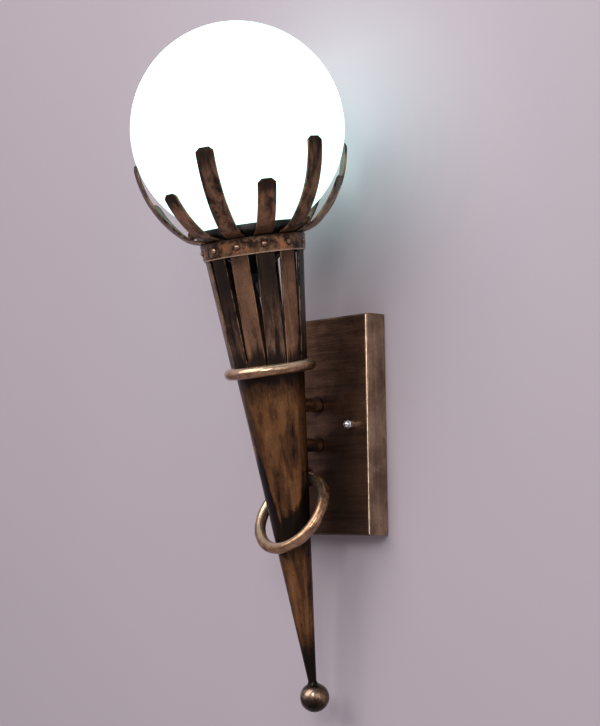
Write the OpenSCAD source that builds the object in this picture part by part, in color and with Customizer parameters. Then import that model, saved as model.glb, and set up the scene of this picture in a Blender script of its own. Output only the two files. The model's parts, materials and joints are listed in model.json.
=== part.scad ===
// Torch sconce: a wall light with an opal globe in a basket of bent strips, on a leaning cone.
// The origin is the middle of the back plate, on the wall. X runs along the wall, Y runs into
// the wall and Z is up. The torch itself is drawn upright, with its ball's centre at zero
// height, and in_torch() leans it away from the wall.

/* [Back plate] */
// Width of the back plate
plate_w = 102; // [94:1:140]
// Height of the back plate
plate_h = 156; // [130:1:220]
// Depth of the back plate, from the wall to its front face
plate_d = 18; // [17:0.5:30]
// Thickness of the back plate's sheet
plate_t = 1.5; // [1:0.1:2.5]
// Outside radius of the back plate's folds
fold_r = 2.2; // [1.5:0.1:4]

/* [Wall bracket] */
// Length of the steel strap on the wall
bracket_w = 90; // [86:1:94]
// Height of the steel strap on the wall
bracket_h = 24; // [16:1:30]
// Thickness of the steel strap on the wall
bracket_t = 1.6; // [1.2:0.1:2.5]
// Distance between the two wall screws
wall_screw_gap = 46; // [42:1:56]
// Diameter of the holes for the wall screws
wall_hole_d = 5.2; // [4:0.1:6]
// Distance between the two studs that hold the plate
stud_gap = 68; // [66:1:74]
// Diameter of the studs
stud_d = 4; // [3:0.5:5]
// Distance across the flats of the cap nuts and the stud nuts
stud_nut_w = 7; // [6.5:0.5:8]
// Height of each cap nut
cap_nut_h = 7.5; // [6.5:0.5:9]
// Distance of the earth screw from the middle of the bracket
earth_x = 12; // [8:1:14]
// Diameter of the earth screw's head
earth_head_d = 7; // [5:0.5:8]

/* [Arms] */
// Diameter of the two arms
arm_d = 10; // [8:0.5:12]
// Diameter of the bore through the arms
arm_bore = 7; // [5.6:0.2:7.4]
// Height of the upper arm above the plate's middle
arm_up = 15; // [13:0.5:18]
// Depth of the lower arm below the plate's middle
arm_down = 13.4; // [12:0.5:16]
// Distance across the flats of the arm nuts
arm_nut_w = 14; // [13:0.5:17]
// Thickness of the arm nuts
arm_nut_h = 4; // [3:0.5:5]

/* [Cone] */
// Lean of the torch away from the wall, in degrees
tilt = 9.5; // [8.5:0.25:10.5]
// Distance of the tip ball's centre from the wall
ball_out = 24.8; // [22:0.5:28]
// Depth of the tip ball's centre below the plate's middle
ball_down = 192; // [186:1:198]
// Diameter of the tip ball
ball_d = 21; // [18:0.5:26]
// Diameter of the cone where it meets the ball
cone_tip_d = 5.8; // [5:0.1:7]
// Diameter of the cone at the collar ring
cone_top_d = 48.6; // [46:0.2:50]
// Thickness of the cone's sheet
cone_t = 1.2; // [0.8:0.1:1.6]
// Height of the collar ring's middle above the upper arm
collar_over_arm = 24.2; // [20:0.2:30]
// Height of the cone's open top above the collar ring
cone_lip = 11.6; // [8:0.2:14]
// Diameter of the rod that both rings are bent from
rod_d = 8.4; // [7:0.2:9]

/* [Hanging ring] */
// Diameter of the hanging ring, along the middle of its rod
ring_d = 58.4; // [57:0.2:62]
// Depth of the point that the hanging ring turns on below the lower arm, along the torch
ring_drop = 23.4; // [18:0.2:28]
// Diameter of the staple's rod
staple_d = 3; // [2:0.5:4]

/* [Basket] */
// Width of each strip
strap_w = 12.7; // [10:0.1:12.8]
// Thickness of each strip
strap_t = 1.6; // [1.2:0.1:2]
// Height of the band's upper edge above the collar ring
basket_l = 92.2; // [84:0.2:100]
// Height of the band
band_h = 12; // [9:0.5:16]
// Thickness of the band
band_t = 1.2; // [0.8:0.1:1.6]
// Diameter across the strips' outer faces at the band's upper edge
basket_d = 70.8; // [69:0.2:72]
// Slope of the strips where they leave the band, in degrees
run_slope = 15.2; // [12:0.2:18]
// How much larger the radius of the fingers' outer faces is than the globe's
finger_over = 0.1; // [0:0.1:1]
// Depth below the globe's centre of the centre that the fingers curve about
finger_drop = 13.5; // [12.5:0.1:15]
// Distance of that centre from the torch's axis
finger_off = 0.9; // [0.6:0.1:1.5]
// Angle from the long fingers' tips up to the level of their centre
long_tip = 3.1; // [1:0.1:8]
// Angle from the short fingers' tips up to the level of their centre
short_tip = 23.2; // [16:0.1:30]
// Length of the clipped corners at the fingers' tips
tip_clip = 2.6; // [1:0.1:4]
// Diameter of the rivets' heads
rivet_head_d = 4.2; // [3:0.1:5]
// Diameter of the rivets' shanks
rivet_d = 2.4; // [1.8:0.1:2.8]

/* [Globe] */
// Outside diameter of the globe
globe_d = 150; // [146:1:152]
// Thickness of the globe's glass
glass_t = 2.5; // [2:0.1:3.5]
// Outside diameter of the globe's neck
neck_d = 73.6; // [72.8:0.2:74.4]
// Height of the neck that shows between the cup's rim and the globe
neck_show = 3; // [2:0.2:6]

/* [Gallery] */
// Outside diameter of the cup that holds the globe
cup_d = 78.4; // [77.8:0.2:79.4]
// Thickness of the cup's sheet
cup_t = 1.2; // [0.8:0.1:1.4]
// Height of the cup's flat floor below the band's upper edge
floor_drop = 1.4; // [1:0.1:2]
// Width of the cup's flat floor
floor_d = 56.8; // [54:0.2:57]
// Height of the cup's straight rim
rim_h = 4.2; // [4:0.1:5.5]
// Diameter of the gallery screws
grip_d = 2.5; // [2:0.1:3]
// Diameter of the gallery screws' heads
grip_head_d = 6; // [4:0.5:7]
// Length of the gallery screws' heads
grip_head_l = 4; // [3:0.5:5]
// Length of each gallery screw between the cup and its head
grip_show = 4.2; // [4.2:0.2:6]

/* [Lampholder] */
// Diameter of the lampholder's barrel
barrel_d = 39; // [36:0.5:41]
// Height of the barrel above the cup's floor
barrel_up = 22; // [20:0.5:26]
// Height of the barrel below the cup's floor, down to its rounded end
barrel_down = 11; // [9:0.5:14]
// Diameter of the cable entry at the lampholder's lower end
entry_d = 10; // [9:0.5:12]
// Length of the lampholder's rounded end and cable entry together
entry_l = 17.5; // [16:0.5:19]
// Inside diameter of the threaded shell
shell_d = 27; // [26.8:0.1:27.2]
// Thickness of the threaded shell
shell_t = 0.6; // [0.4:0.1:0.8]

/* [Bulb] */
// Diameter of the bulb
bulb_d = 60; // [50:1:62]
// Whole length of the bulb
bulb_l = 105; // [100:1:110]
// Length of the bulb's cap
bulb_cap_l = 26; // [24:0.5:28]
// Thickness of the bulb's wall and its cap
bulb_t = 1; // [0.6:0.1:1.5]

/* [Lead and terminals] */
// Diameter of the two-core lead
lead_d = 4.4; // [4:0.2:5]
// Width of the terminal block
block_w = 30; // [28:1:36]
// Height of the terminal block
block_h = 14; // [12:1:18]
// Depth of the terminal block
block_d = 9; // [8:0.5:10]
// Depth of the terminal block's middle below the plate's middle
block_down = 45; // [44:1:50]

/* [Hidden] */
$fn = 64;
strap_count = 12;

// Clearances: lay_gap where pieces of one body touch, free_gap where a piece moves past
// another, play where a shank goes through a hole, and thread_play in a tapped hole
lay_gap = 0.05;
free_gap = 0.3;
play = 0.15;
thread_play = 0.05;

// Finishes
bronze = [0.36, 0.23, 0.15];
copper = [0.62, 0.38, 0.24];
black = [0.06, 0.05, 0.05];
steel = [0.62, 0.62, 0.60];
brass = [0.75, 0.60, 0.30];

// Distance of the torch's axis from the wall, at a height above the plate's middle
function axis_out(z) = ball_out + (ball_down + z) * tan(tilt);

// Cone: radius at any height, and its slope
tip_h = ball_d / 2 + 0.5;
collar_h = (ball_down + arm_up + collar_over_arm) / cos(tilt);
cone_slope = (cone_top_d - cone_tip_d) / 2 / (collar_h - tip_h);
half_angle = atan(cone_slope);
cone_top_h = collar_h + cone_lip;
hollow_h = tip_h + 24;
spigot_d = cone_tip_d - 1;
spigot_l = 6;
function cone_r(h) = cone_tip_d / 2 + cone_slope * (h - tip_h);

// Collar ring: it fits round the cone
collar_r = cone_r(collar_h) + (rod_d / 2 + lay_gap) / cos(half_angle);

// Hanging ring: the staple holds its high side behind the cone, and at rest its low side
// leans on the cone's front. The lower arm meets the cone's back at arm_foot_h, and pivot_r is
// the pivot's distance from the torch's axis.
arm_foot_h = (ball_down - arm_down - sin(tilt) * cone_r(0)) / (cos(tilt) + sin(tilt) * cone_slope);
ring_h = arm_foot_h - ring_drop;
ring_seat = (rod_d / 2 + free_gap) / cos(half_angle);
pivot_r = cone_r(ring_h) + ring_seat;
ring_lean = half_angle + acos(pivot_r * cos(half_angle) / (ring_d / 2));
staple_r = rod_d / 2 + 0.4 + staple_d / 2;

// Strips: each lies on the cone's lip at its lower end, passes inside the band, bends out
// over the band's edge and curves up as a finger
band_top_h = collar_h + basket_l;
strap_low_h = collar_h + rod_d / 2 + lay_gap;
strap_low_r = cone_r(strap_low_h) + lay_gap + strap_t / 2;
strap_top_r = basket_d / 2 - strap_t / 2;
strap_lean = atan((strap_top_r - strap_low_r) / (band_top_h - strap_low_h));
bend_h = band_top_h + strap_t / 2 + 0.2;
bend_r = strap_low_r + (bend_h - strap_low_h) * tan(strap_lean);
finger_r = globe_d / 2 + finger_over;
finger_mid_r = finger_r - strap_t / 2;
function strap_mid(h) = strap_low_r + (h - strap_low_h) * tan(strap_lean);
function strap_out(h) = strap_mid(h) + strap_t / 2 / cos(strap_lean);

// Band: it touches the outer corners of the strips
band_low_h = band_top_h - band_h;
rivet_h = band_top_h - band_h / 2;
function band_in(h) = norm([strap_out(h), strap_w / 2]) + lay_gap;
rivet_head_h = 1.3;
rivet_tail_h = 0.8;
rivet_grip = (band_in(rivet_h) + band_t - strap_out(rivet_h)) * cos(strap_lean) + 0.1;

// Cup: its sloped side rests in the bends of the strips
floor_h = band_top_h - floor_drop;
cup_slope = 29.6;
side_rise = (cup_d - floor_d) / 2 * tan(cup_slope);
rim_low_h = floor_h + side_rise;
rim_top_h = rim_low_h + rim_h;
cup_in = cup_d / 2 - cup_t;
side_up = cup_t / cos(cup_slope);
grip_h = rim_top_h - rim_h / 2;
grip_angles = [-15, 105, 225];

// Globe: its neck stands on the sloped side of the cup
neck_low_h = floor_h + side_up + (neck_d - floor_d) / 2 * tan(cup_slope) + 0.2;
globe_h = rim_top_h + neck_show + sqrt(pow(globe_d / 2, 2) - pow(neck_d / 2, 2));
grip_tip = neck_d / 2 + free_gap;

// Fingers: a point at an angle below the level of their centre, and at a radius
finger_h = globe_h - finger_drop;
function on_finger(a, r) = [finger_off + r * cos(a), finger_h - r * sin(a)];

// Lampholder: clamped in the cup's floor between its shoulder and the shade ring
shoulder_h = 3;
shoulder_top_h = floor_h - lay_gap;
barrel_top_h = floor_h + barrel_up;
dome_top_h = floor_h - barrel_down;
entry_low_h = dome_top_h - entry_l;
ring_nut_h = 4;
ring_nut_d = barrel_d + 8;
shell_low_h = floor_h - 6;
insert_h = 4;
contact_h = 1;
contact_top_h = shell_low_h + contact_h;

// Bulb: its contact rests just above the lampholder's centre contact
bulb_low_h = contact_top_h + free_gap;
bulb_cap_d = shell_d - 2 * free_gap;
bulb_cap_top_h = bulb_low_h + bulb_cap_l;
bulb_mid_h = bulb_low_h + bulb_l - bulb_d / 2;
bulb_lift = 25;

// Where the wall-side pieces lie
plate_in = -plate_d + plate_t;
arm_end = plate_in + arm_nut_h + 1.5;
arm_holes = [arm_up, -arm_down];

// Places a piece of the torch in the leaning frame
module in_torch() {
    translate([0, -ball_out, -ball_down]) rotate([tilt, 0, 0]) children();
}

// The same place, for a point at a distance back from the axis and a height along it
function torch_point(x, back, h) = [
    x,
    -ball_out + back * cos(tilt) - h * sin(tilt),
    -ball_down + back * sin(tilt) + h * cos(tilt)
];

// Turns a piece that is drawn along +X to a bearing from the front, towards +X
module at_bearing(angle) {
    rotate([0, 0, angle - 90]) children();
}

module hex_prism(flats, height) {
    cylinder(d = flats / cos(30), h = height, $fn = 6);
}

// Turns a piece that is drawn along +Z so that it points out of the wall
module out_of_wall(x, y, z) {
    translate([x, y, z]) rotate([90, 0, 0]) children();
}

module rod_ring(radius) {
    rotate_extrude($fn = 96) translate([radius, 0]) circle(d = rod_d, $fn = 32);
}

// A flat section with its front corners rounded, drawn with its open side at zero
module fold_section(width, depth, radius) {
    translate([-width / 2, -depth + radius]) square([width, depth - radius]);
    translate([-width / 2 + radius, -depth]) square([width - 2 * radius, depth]);
    for (side = [-1, 1])
        translate([side * (width / 2 - radius), -depth + radius]) circle(r = radius);
}

module pan_block(width, height, depth, radius) {
    intersection() {
        translate([0, 0, -height / 2]) linear_extrude(height) fold_section(width, depth, radius);
        rotate([0, 90, 0]) translate([0, 0, -width / 2]) linear_extrude(width)
            fold_section(height, depth, radius);
    }
}

// The smooth outside of the cone, grown by a gap to cut what meets it
module cone_body(gap = 0) {
    translate([0, 0, tip_h])
        cylinder(r1 = cone_tip_d / 2 + gap, r2 = cone_r(cone_top_h) + gap, h = cone_top_h - tip_h);
}

module back_plate() {
    color(bronze) difference() {
        pan_block(plate_w, plate_h, plate_d, fold_r);
        translate([0, 0.01, 0])
            pan_block(plate_w - 2 * plate_t, plate_h - 2 * plate_t, plate_d - plate_t + 0.01,
                fold_r - plate_t / 2);
        for (x = [-stud_gap / 2, stud_gap / 2])
            out_of_wall(x, 0, 0) cylinder(d = stud_d + 4 * play, h = plate_d + 1);
        for (z = arm_holes)
            out_of_wall(0, 0, z) cylinder(d = arm_d + 2 * play, h = plate_d + 1);
    }
}

module wall_bracket() {
    color(steel) difference() {
        translate([-bracket_w / 2, -bracket_t, -bracket_h / 2])
            cube([bracket_w, bracket_t, bracket_h]);
        for (x = [-wall_screw_gap / 2, wall_screw_gap / 2])
            out_of_wall(x, 1, 0) cylinder(d = wall_hole_d, h = bracket_t + 2);
        for (x = [-stud_gap / 2, stud_gap / 2])
            out_of_wall(x, 1, 0) cylinder(d = stud_d + 2 * thread_play, h = bracket_t + 2);
        out_of_wall(-earth_x, 1, 0) cylinder(d = stud_d + 2 * thread_play, h = bracket_t + 2);
    }
}

module bracket_studs() {
    color(steel) for (x = [-stud_gap / 2, stud_gap / 2])
        out_of_wall(x, -0.2, 0) cylinder(d = stud_d, h = plate_d + cap_nut_h / 2);
}

module stud_nuts() {
    color(steel) for (x = [-stud_gap / 2, stud_gap / 2])
        out_of_wall(x, -bracket_t, 0) difference() {
            hex_prism(stud_nut_w, 3);
            translate([0, 0, -1]) cylinder(d = stud_d + 2 * thread_play, h = 5);
        }
}

module cap_nuts() {
    dome_r = stud_nut_w / 2 - 0.2;
    color([0.8, 0.8, 0.8]) for (x = [-stud_gap / 2, stud_gap / 2])
        out_of_wall(x, -plate_d, 0) difference() {
            union() {
                hex_prism(stud_nut_w, cap_nut_h - dome_r);
                translate([0, 0, cap_nut_h - dome_r]) intersection() {
                    sphere(r = dome_r);
                    cylinder(r = dome_r + 1, h = dome_r + 1);
                }
            }
            translate([0, 0, -1])
                cylinder(d = stud_d + 2 * thread_play, h = cap_nut_h / 2 + 1.2);
        }
}

module earth_screw() {
    color(brass) out_of_wall(-earth_x, -0.2, 0) {
        cylinder(d = stud_d, h = bracket_t);
        translate([0, 0, bracket_t - 0.2]) difference() {
            cylinder(d = earth_head_d, h = 2.4);
            translate([-earth_head_d, -0.5, 1.4]) cube([2 * earth_head_d, 1, 2]);
        }
    }
}

// An arm: bored through, threaded into the plate, and cut to lie against the cone
module arm(z) {
    to_axis = axis_out(z) + arm_end;
    difference() {
        out_of_wall(0, arm_end, z) cylinder(d = arm_d, h = to_axis);
        out_of_wall(0, arm_end + 1, z) cylinder(d = arm_bore, h = to_axis + 2);
        in_torch() cone_body(lay_gap);
    }
}

module upper_arm() {
    color(bronze) arm(arm_up);
}

module lower_arm() {
    color(bronze) arm(-arm_down);
}

module arm_nuts() {
    color(steel) for (z = arm_holes)
        out_of_wall(0, plate_in + arm_nut_h, z) difference() {
            hex_prism(arm_nut_w, arm_nut_h);
            translate([0, 0, -1]) cylinder(d = arm_d + 2 * thread_play, h = arm_nut_h + 2);
        }
}

module torch_cone() {
    color(bronze) difference() {
        in_torch() {
            difference() {
                cone_body();
                translate([0, 0, hollow_h]) cylinder(
                    r1 = cone_r(hollow_h) - cone_t,
                    r2 = cone_r(cone_top_h + 1) - cone_t,
                    h = cone_top_h + 1 - hollow_h
                );
            }
            translate([0, 0, tip_h - spigot_l]) cylinder(d = spigot_d, h = spigot_l + 1);
        }
        out_of_wall(0, arm_end, arm_up)
            cylinder(d = arm_bore, h = axis_out(arm_up) + arm_end);
    }
}

module tip_ball() {
    color(copper) in_torch() difference() {
        sphere(d = ball_d, $fn = 96);
        translate([0, 0, tip_h - spigot_l - 0.3])
            cylinder(d = spigot_d + 2 * thread_play, h = ball_d);
        translate([-ball_d / 2, -ball_d / 2, tip_h - lay_gap]) cube([ball_d, ball_d, ball_d]);
        translate([0, 0, ball_d / 2 - 0.4]) cylinder(d = cone_tip_d + 0.4, h = 2);
    }
}

module collar_ring() {
    color(copper) in_torch() translate([0, 0, collar_h]) rod_ring(collar_r);
}

module hanging_ring() {
    color(copper) in_torch() translate([0, pivot_r, ring_h])
        rotate([ring_lean, 0, 0]) translate([0, -ring_d / 2, 0]) rod_ring(ring_d / 2);
}

module ring_staple() {
    color(bronze) in_torch() difference() {
        translate([0, pivot_r, ring_h]) {
            rotate([0, -90, 0]) rotate_extrude(angle = 180)
                translate([staple_r, 0]) circle(d = staple_d, $fn = 32);
            for (side = [-1, 1])
                translate([0, 0, side * staple_r]) rotate([90, 0, 0])
                    cylinder(d = staple_d, h = pivot_r, $fn = 32);
        }
        cone_body(lay_gap);
    }
}

// The side view of a strip, cut from one blank: distance from the axis across, height up the
// page. It is square at the foot and cut along a radius at the finger's tip.
module strap_side(tip_angle) {
    reach = 2 * finger_r;
    turn = (90 - strap_lean - run_slope) / 2;
    corner_angle = run_slope + turn - 90;
    corner = strap_t / 2 / cos(turn) * [cos(corner_angle), sin(corner_angle)];
    outer = [bend_r, bend_h] + corner;
    inner = [bend_r, bend_h] - corner;
    lean = [sin(strap_lean), cos(strap_lean)];
    run = [cos(run_slope), sin(run_slope)];
    difference() {
        polygon([
            [0, strap_low_h],
            [reach, strap_low_h],
            on_finger(tip_angle, reach),
            [0, finger_h + finger_off * tan(tip_angle)]
        ]);
        polygon([outer, outer + reach * run, [2 * reach, 0], outer - reach * lean]);
        difference() {
            translate([outer[0] + strap_t, 0]) square([reach, finger_h + reach]);
            translate([finger_off, finger_h]) circle(r = finger_r, $fn = 256);
        }
        polygon([
            inner + finger_r / 3 * lean,
            inner - reach * lean,
            [-reach, inner[1] - reach],
            [-reach, inner[1] + finger_r / 3]
        ]);
        intersection() {
            translate([finger_off, finger_h]) circle(r = finger_r - strap_t, $fn = 256);
            polygon([
                inner - finger_r * run,
                inner + finger_r * run,
                inner + finger_r * run + [0, reach],
                inner - finger_r * run + [0, reach]
            ]);
        }
    }
}

// Places a cutter at a finger's tip: X across the strip, Z along it towards the tip
module at_tip(tip_angle) {
    tip = on_finger(tip_angle, finger_mid_r);
    translate([tip[0], 0, tip[1]]) rotate([0, tip_angle, 0]) rotate([0, 0, 90]) children();
}

// Places a piece square to a strip's outer face, at the rivets' height
module on_strap(i) {
    at_bearing(i * 360 / strap_count) translate([strap_out(rivet_h), 0, rivet_h])
        rotate([0, 90 + strap_lean, 0]) children();
}

module strap(i) {
    tip_angle = i % 2 == 0 ? short_tip : long_tip;
    color(bronze) in_torch() difference() {
        at_bearing(i * 360 / strap_count) difference() {
            rotate([90, 0, 0]) linear_extrude(strap_w, center = true) strap_side(tip_angle);
            for (side = [-1, 1])
                at_tip(tip_angle) translate([side * strap_w / 2, 0, 0])
                    rotate([0, side * 45, 0])
                        translate([0, 0, strap_w / 2 - tip_clip / sqrt(2)])
                            cube(strap_w, center = true);
        }
        on_strap(i) translate([0, 0, -2 * strap_t])
            cylinder(d = rivet_d + 2 * thread_play, h = 3 * strap_t);
    }
}

module hoop_band() {
    color(copper) in_torch() difference() {
        rotate_extrude($fn = 128) polygon([
            [band_in(band_low_h), band_low_h],
            [band_in(band_low_h) + band_t, band_low_h],
            [band_in(band_top_h) + band_t, band_top_h],
            [band_in(band_top_h), band_top_h]
        ]);
        for (i = [1:strap_count])
            on_strap(i) translate([0, 0, 0.2])
                cylinder(d = rivet_d + 2 * thread_play, h = 4 * band_t);
    }
}

module band_rivets() {
    cap_r = (pow(rivet_head_d / 2, 2) + pow(rivet_head_h, 2)) / (2 * rivet_head_h);
    back = strap_t + lay_gap;
    color(copper) in_torch() for (i = [1:strap_count])
        on_strap(i) {
            translate([0, 0, -back]) cylinder(d = rivet_d, h = back + rivet_grip + 0.2);
            translate([0, 0, -back - rivet_tail_h])
                cylinder(d = rivet_head_d - 0.6, h = rivet_tail_h);
            translate([0, 0, rivet_grip]) intersection() {
                translate([0, 0, rivet_head_h - cap_r]) sphere(r = cap_r);
                cylinder(d = rivet_head_d + 1, h = rivet_head_h + 1);
            }
        }
}

// Places a gallery screw or its hole along a bearing, drawn along +Z from the axis
module on_grip(i) {
    at_bearing(grip_angles[i - 1]) translate([0, 0, grip_h]) rotate([0, 90, 0]) children();
}

module gallery_cup() {
    color(black) in_torch() difference() {
        rotate_extrude($fn = 128) polygon([
            [barrel_d / 2 + 2 * play, floor_h],
            [floor_d / 2, floor_h],
            [cup_d / 2, rim_low_h],
            [cup_d / 2, rim_top_h],
            [cup_in, rim_top_h],
            [cup_in, rim_low_h + side_up - cup_t * tan(cup_slope)],
            [floor_d / 2 - (side_up - cup_t) / tan(cup_slope), floor_h + cup_t],
            [barrel_d / 2 + 2 * play, floor_h + cup_t]
        ]);
        for (i = [1:3])
            on_grip(i) cylinder(d = grip_d + 2 * thread_play, h = cup_d, $fn = 32);
    }
}

module gallery_screw(i) {
    head_at = cup_d / 2 + grip_show;
    color(brass) in_torch() on_grip(i) {
        translate([0, 0, grip_tip]) cylinder(d = grip_d, h = head_at - grip_tip, $fn = 32);
        translate([0, 0, head_at]) cylinder(d = grip_head_d, h = grip_head_l, $fn = 32);
    }
}

module holder_body() {
    cavity_d = shell_d + 2 * shell_t + 2 * lay_gap;
    seat_h = shell_low_h - insert_h - lay_gap;
    wall = (barrel_d - cavity_d) / 2;
    entry_bore = lead_d + 1.2;
    dome_low_h = entry_low_h + entry_l / 3;
    color(black) in_torch() difference() {
        rotate_extrude($fn = 96) polygon([
            [0, entry_low_h],
            [entry_d / 2, entry_low_h],
            [entry_d / 2, dome_low_h],
            [barrel_d / 2 - 10, dome_low_h + 3],
            [barrel_d / 2 - 3.5, dome_top_h - 3.5],
            [barrel_d / 2, dome_top_h],
            [barrel_d / 2, shoulder_top_h - shoulder_h],
            [barrel_d / 2 + 2.5, shoulder_top_h - shoulder_h],
            [barrel_d / 2 + 2.5, shoulder_top_h],
            [barrel_d / 2, shoulder_top_h],
            [barrel_d / 2, barrel_top_h],
            [0, barrel_top_h]
        ]);
        translate([0, 0, seat_h]) cylinder(d = cavity_d, h = barrel_top_h);
        translate([0, 0, dome_top_h - 3]) cylinder(d = cavity_d - 6, h = barrel_top_h);
        translate([0, 0, entry_low_h - 1]) cylinder(d = entry_bore, h = barrel_top_h);
    }
}

module shade_ring() {
    color(black) in_torch() translate([0, 0, floor_h + cup_t + lay_gap]) difference() {
        cylinder(d = ring_nut_d, h = ring_nut_h);
        translate([0, 0, -1]) cylinder(d = barrel_d + 2 * play, h = ring_nut_h + 2);
    }
}

module holder_insert() {
    color([0.9, 0.88, 0.82]) in_torch() translate([0, 0, shell_low_h - insert_h]) difference() {
        cylinder(d = shell_d + 2 * shell_t, h = insert_h);
        for (x = [-8, 8])
            translate([x, 0, -1]) cylinder(d = 2.5, h = insert_h + 2);
    }
}

module holder_shell() {
    color(brass) in_torch() translate([0, 0, shell_low_h + lay_gap]) difference() {
        cylinder(d = shell_d + 2 * shell_t, h = barrel_top_h - shell_low_h - 2);
        translate([0, 0, -1]) cylinder(d = shell_d, h = barrel_top_h);
    }
}

module centre_contact() {
    color(brass) in_torch() translate([0, 0, shell_low_h]) cylinder(d = 8, h = contact_h);
}

// The side view of the cap, drawn in by a wall's thickness for its hollow inside
module cap_side(wall) {
    nub_h = 2.5;
    polygon([
        [0, bulb_low_h + wall],
        [4.5 - wall / 2, bulb_low_h + wall],
        [5.5 - wall / 2, bulb_low_h + nub_h + wall],
        [bulb_cap_d / 2 - 2 - wall, bulb_low_h + 2 * nub_h + wall],
        [bulb_cap_d / 2 - wall, bulb_low_h + 3 * nub_h + wall],
        [bulb_cap_d / 2 - wall, bulb_cap_top_h + wall],
        [0, bulb_cap_top_h + wall]
    ]);
}

module bulb_cap() {
    color(steel) in_torch() rotate_extrude($fn = 96) difference() {
        cap_side(0);
        cap_side(bulb_t);
    }
}

// The bulb's round body and the neck that widens from its cap, drawn in by a wall's thickness
module bulb_shape(wall) {
    foot_h = bulb_cap_top_h + lay_gap - wall;
    translate([0, 0, bulb_mid_h]) sphere(d = bulb_d - 2 * wall, $fn = 96);
    translate([0, 0, foot_h]) cylinder(
        r1 = bulb_cap_d / 2 - wall,
        r2 = bulb_d * 0.43 - wall,
        h = bulb_mid_h - bulb_d / 5 - foot_h
    );
}

module bulb_glass() {
    color("white") in_torch() difference() {
        bulb_shape(0);
        bulb_shape(bulb_t);
    }
}

module globe() {
    color("white") in_torch() difference() {
        union() {
            translate([0, 0, globe_h]) sphere(d = globe_d, $fn = 128);
            translate([0, 0, neck_low_h]) cylinder(d = neck_d, h = globe_h - neck_low_h, $fn = 128);
        }
        translate([0, 0, globe_h]) sphere(d = globe_d - 2 * glass_t, $fn = 128);
        translate([0, 0, neck_low_h - globe_d])
            cylinder(d = neck_d - 2 * glass_t, h = globe_h - neck_low_h + globe_d, $fn = 128);
    }
}

// The lead's route: from the lampholder, down behind the rear strip, through the cone and
// the upper arm, and round the lower arm's nut to the terminals
lead_route = [
    torch_point(0, 0, 304),
    torch_point(0, 0, 295),
    torch_point(0, 3, 286),
    torch_point(0, 12, 276),
    torch_point(0, 19, 266),
    torch_point(0, 20, 254),
    torch_point(0, 18, 242),
    torch_point(0, 15, 230),
    torch_point(0, 12.5, 221),
    [0, -47.5, arm_up + 4],
    [0, -41, arm_up + 0.3],
    [0, -34, arm_up],
    [0, -22, arm_up],
    [0, -12, arm_up],
    [3, -7.5, arm_up - 1.5],
    [9, -6, arm_up - 7],
    [14, -6, arm_up - 19],
    [14, -8, -20],
    [11, -10.5, -28],
    [block_w / 3, plate_in + block_d / 2, -34],
    [block_w / 3, plate_in + block_d / 2, -block_down + block_h / 2 + 0.2]
];

function unit(v) = v / norm(v);
function spline_point(a, b, c, d, t) = 0.5 * (2 * b + (c - a) * t
    + (2 * a - 5 * b + 4 * c - d) * t * t + (3 * b - a - 3 * c + d) * t * t * t);

// Splits each stretch of a route in two along a smooth curve
function smooth(p) = let (n = len(p)) [
    for (i = [0:n - 2]) each [
        p[i],
        spline_point(p[max(i - 1, 0)], p[i], p[i + 1], p[min(i + 2, n - 1)], 0.5)
    ],
    p[n - 1]
];

// A closed tube along a route that never runs along X
module tube_along(p, d, sides) {
    n = len(p);
    rings = [
        for (i = [0:n - 1])
            let (t = unit(p[min(i + 1, n - 1)] - p[max(i - 1, 0)]))
            let (u = unit(cross(t, [1, 0, 0])))
            let (v = cross(t, u))
            for (k = [0:sides - 1])
                p[i] + d / 2 * (cos(k * 360 / sides) * u + sin(k * 360 / sides) * v)
    ];
    walls = [
        for (i = [0:n - 2]) for (k = [0:sides - 1])
            let (a = i * sides + k)
            let (b = i * sides + (k + 1) % sides)
            each [[a, a + sides, b], [b, a + sides, b + sides]]
    ];
    first_end = [for (k = [0:sides - 1]) k];
    last_end = [for (k = [sides - 1:-1:0]) (n - 1) * sides + k];
    polyhedron(points = rings, faces = concat(walls, [first_end], [last_end]));
}

module lamp_lead() {
    color("dimgray") tube_along(smooth(lead_route), lead_d, 10);
}

module terminal_block() {
    color([0.88, 0.87, 0.82]) translate([0, plate_in, -block_down]) difference() {
        translate([-block_w / 2, 0, -block_h / 2]) cube([block_w, block_d, block_h]);
        for (x = [-1, 0, 1] * block_w / 3) {
            translate([x, block_d / 2, -block_h]) cylinder(d = 3.6, h = 2 * block_h);
            for (z = [-1, 1] * block_h / 4)
                translate([x, block_d / 2, z]) rotate([-90, 0, 0])
                    cylinder(d = 3.6, h = block_d);
        }
    }
}

module terminal_screws() {
    color(brass) for (x = [-1, 0, 1] * block_w / 3, z = [-1, 1] * block_h / 4)
        translate([x, plate_in + block_d / 2 + 2, z - block_down]) rotate([-90, 0, 0])
            difference() {
                cylinder(d = 3.6 - 2 * thread_play, h = 2);
                translate([-3, -0.3, 1.2]) cube([6, 0.6, 2]);
            }
}

back_plate();
wall_bracket();
bracket_studs();
stud_nuts();
cap_nuts();
earth_screw();
upper_arm();
lower_arm();
arm_nuts();
torch_cone();
tip_ball();
collar_ring();
hanging_ring();
ring_staple();
for (i = [1:strap_count])
    strap(i);
hoop_band();
band_rivets();
gallery_cup();
for (i = [1:3])
    gallery_screw(i);
holder_body();
shade_ring();
holder_insert();
holder_shell();
centre_contact();
bulb_cap();
bulb_glass();
globe();
lamp_lead();
terminal_block();
terminal_screws();
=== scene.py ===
import json
from math import acos, atan2, cos, degrees, pi, radians, sin, sqrt, tan

import bmesh
import bpy
from mathutils import Matrix, Vector, noise
from mathutils.geometry import interpolate_bezier


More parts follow.
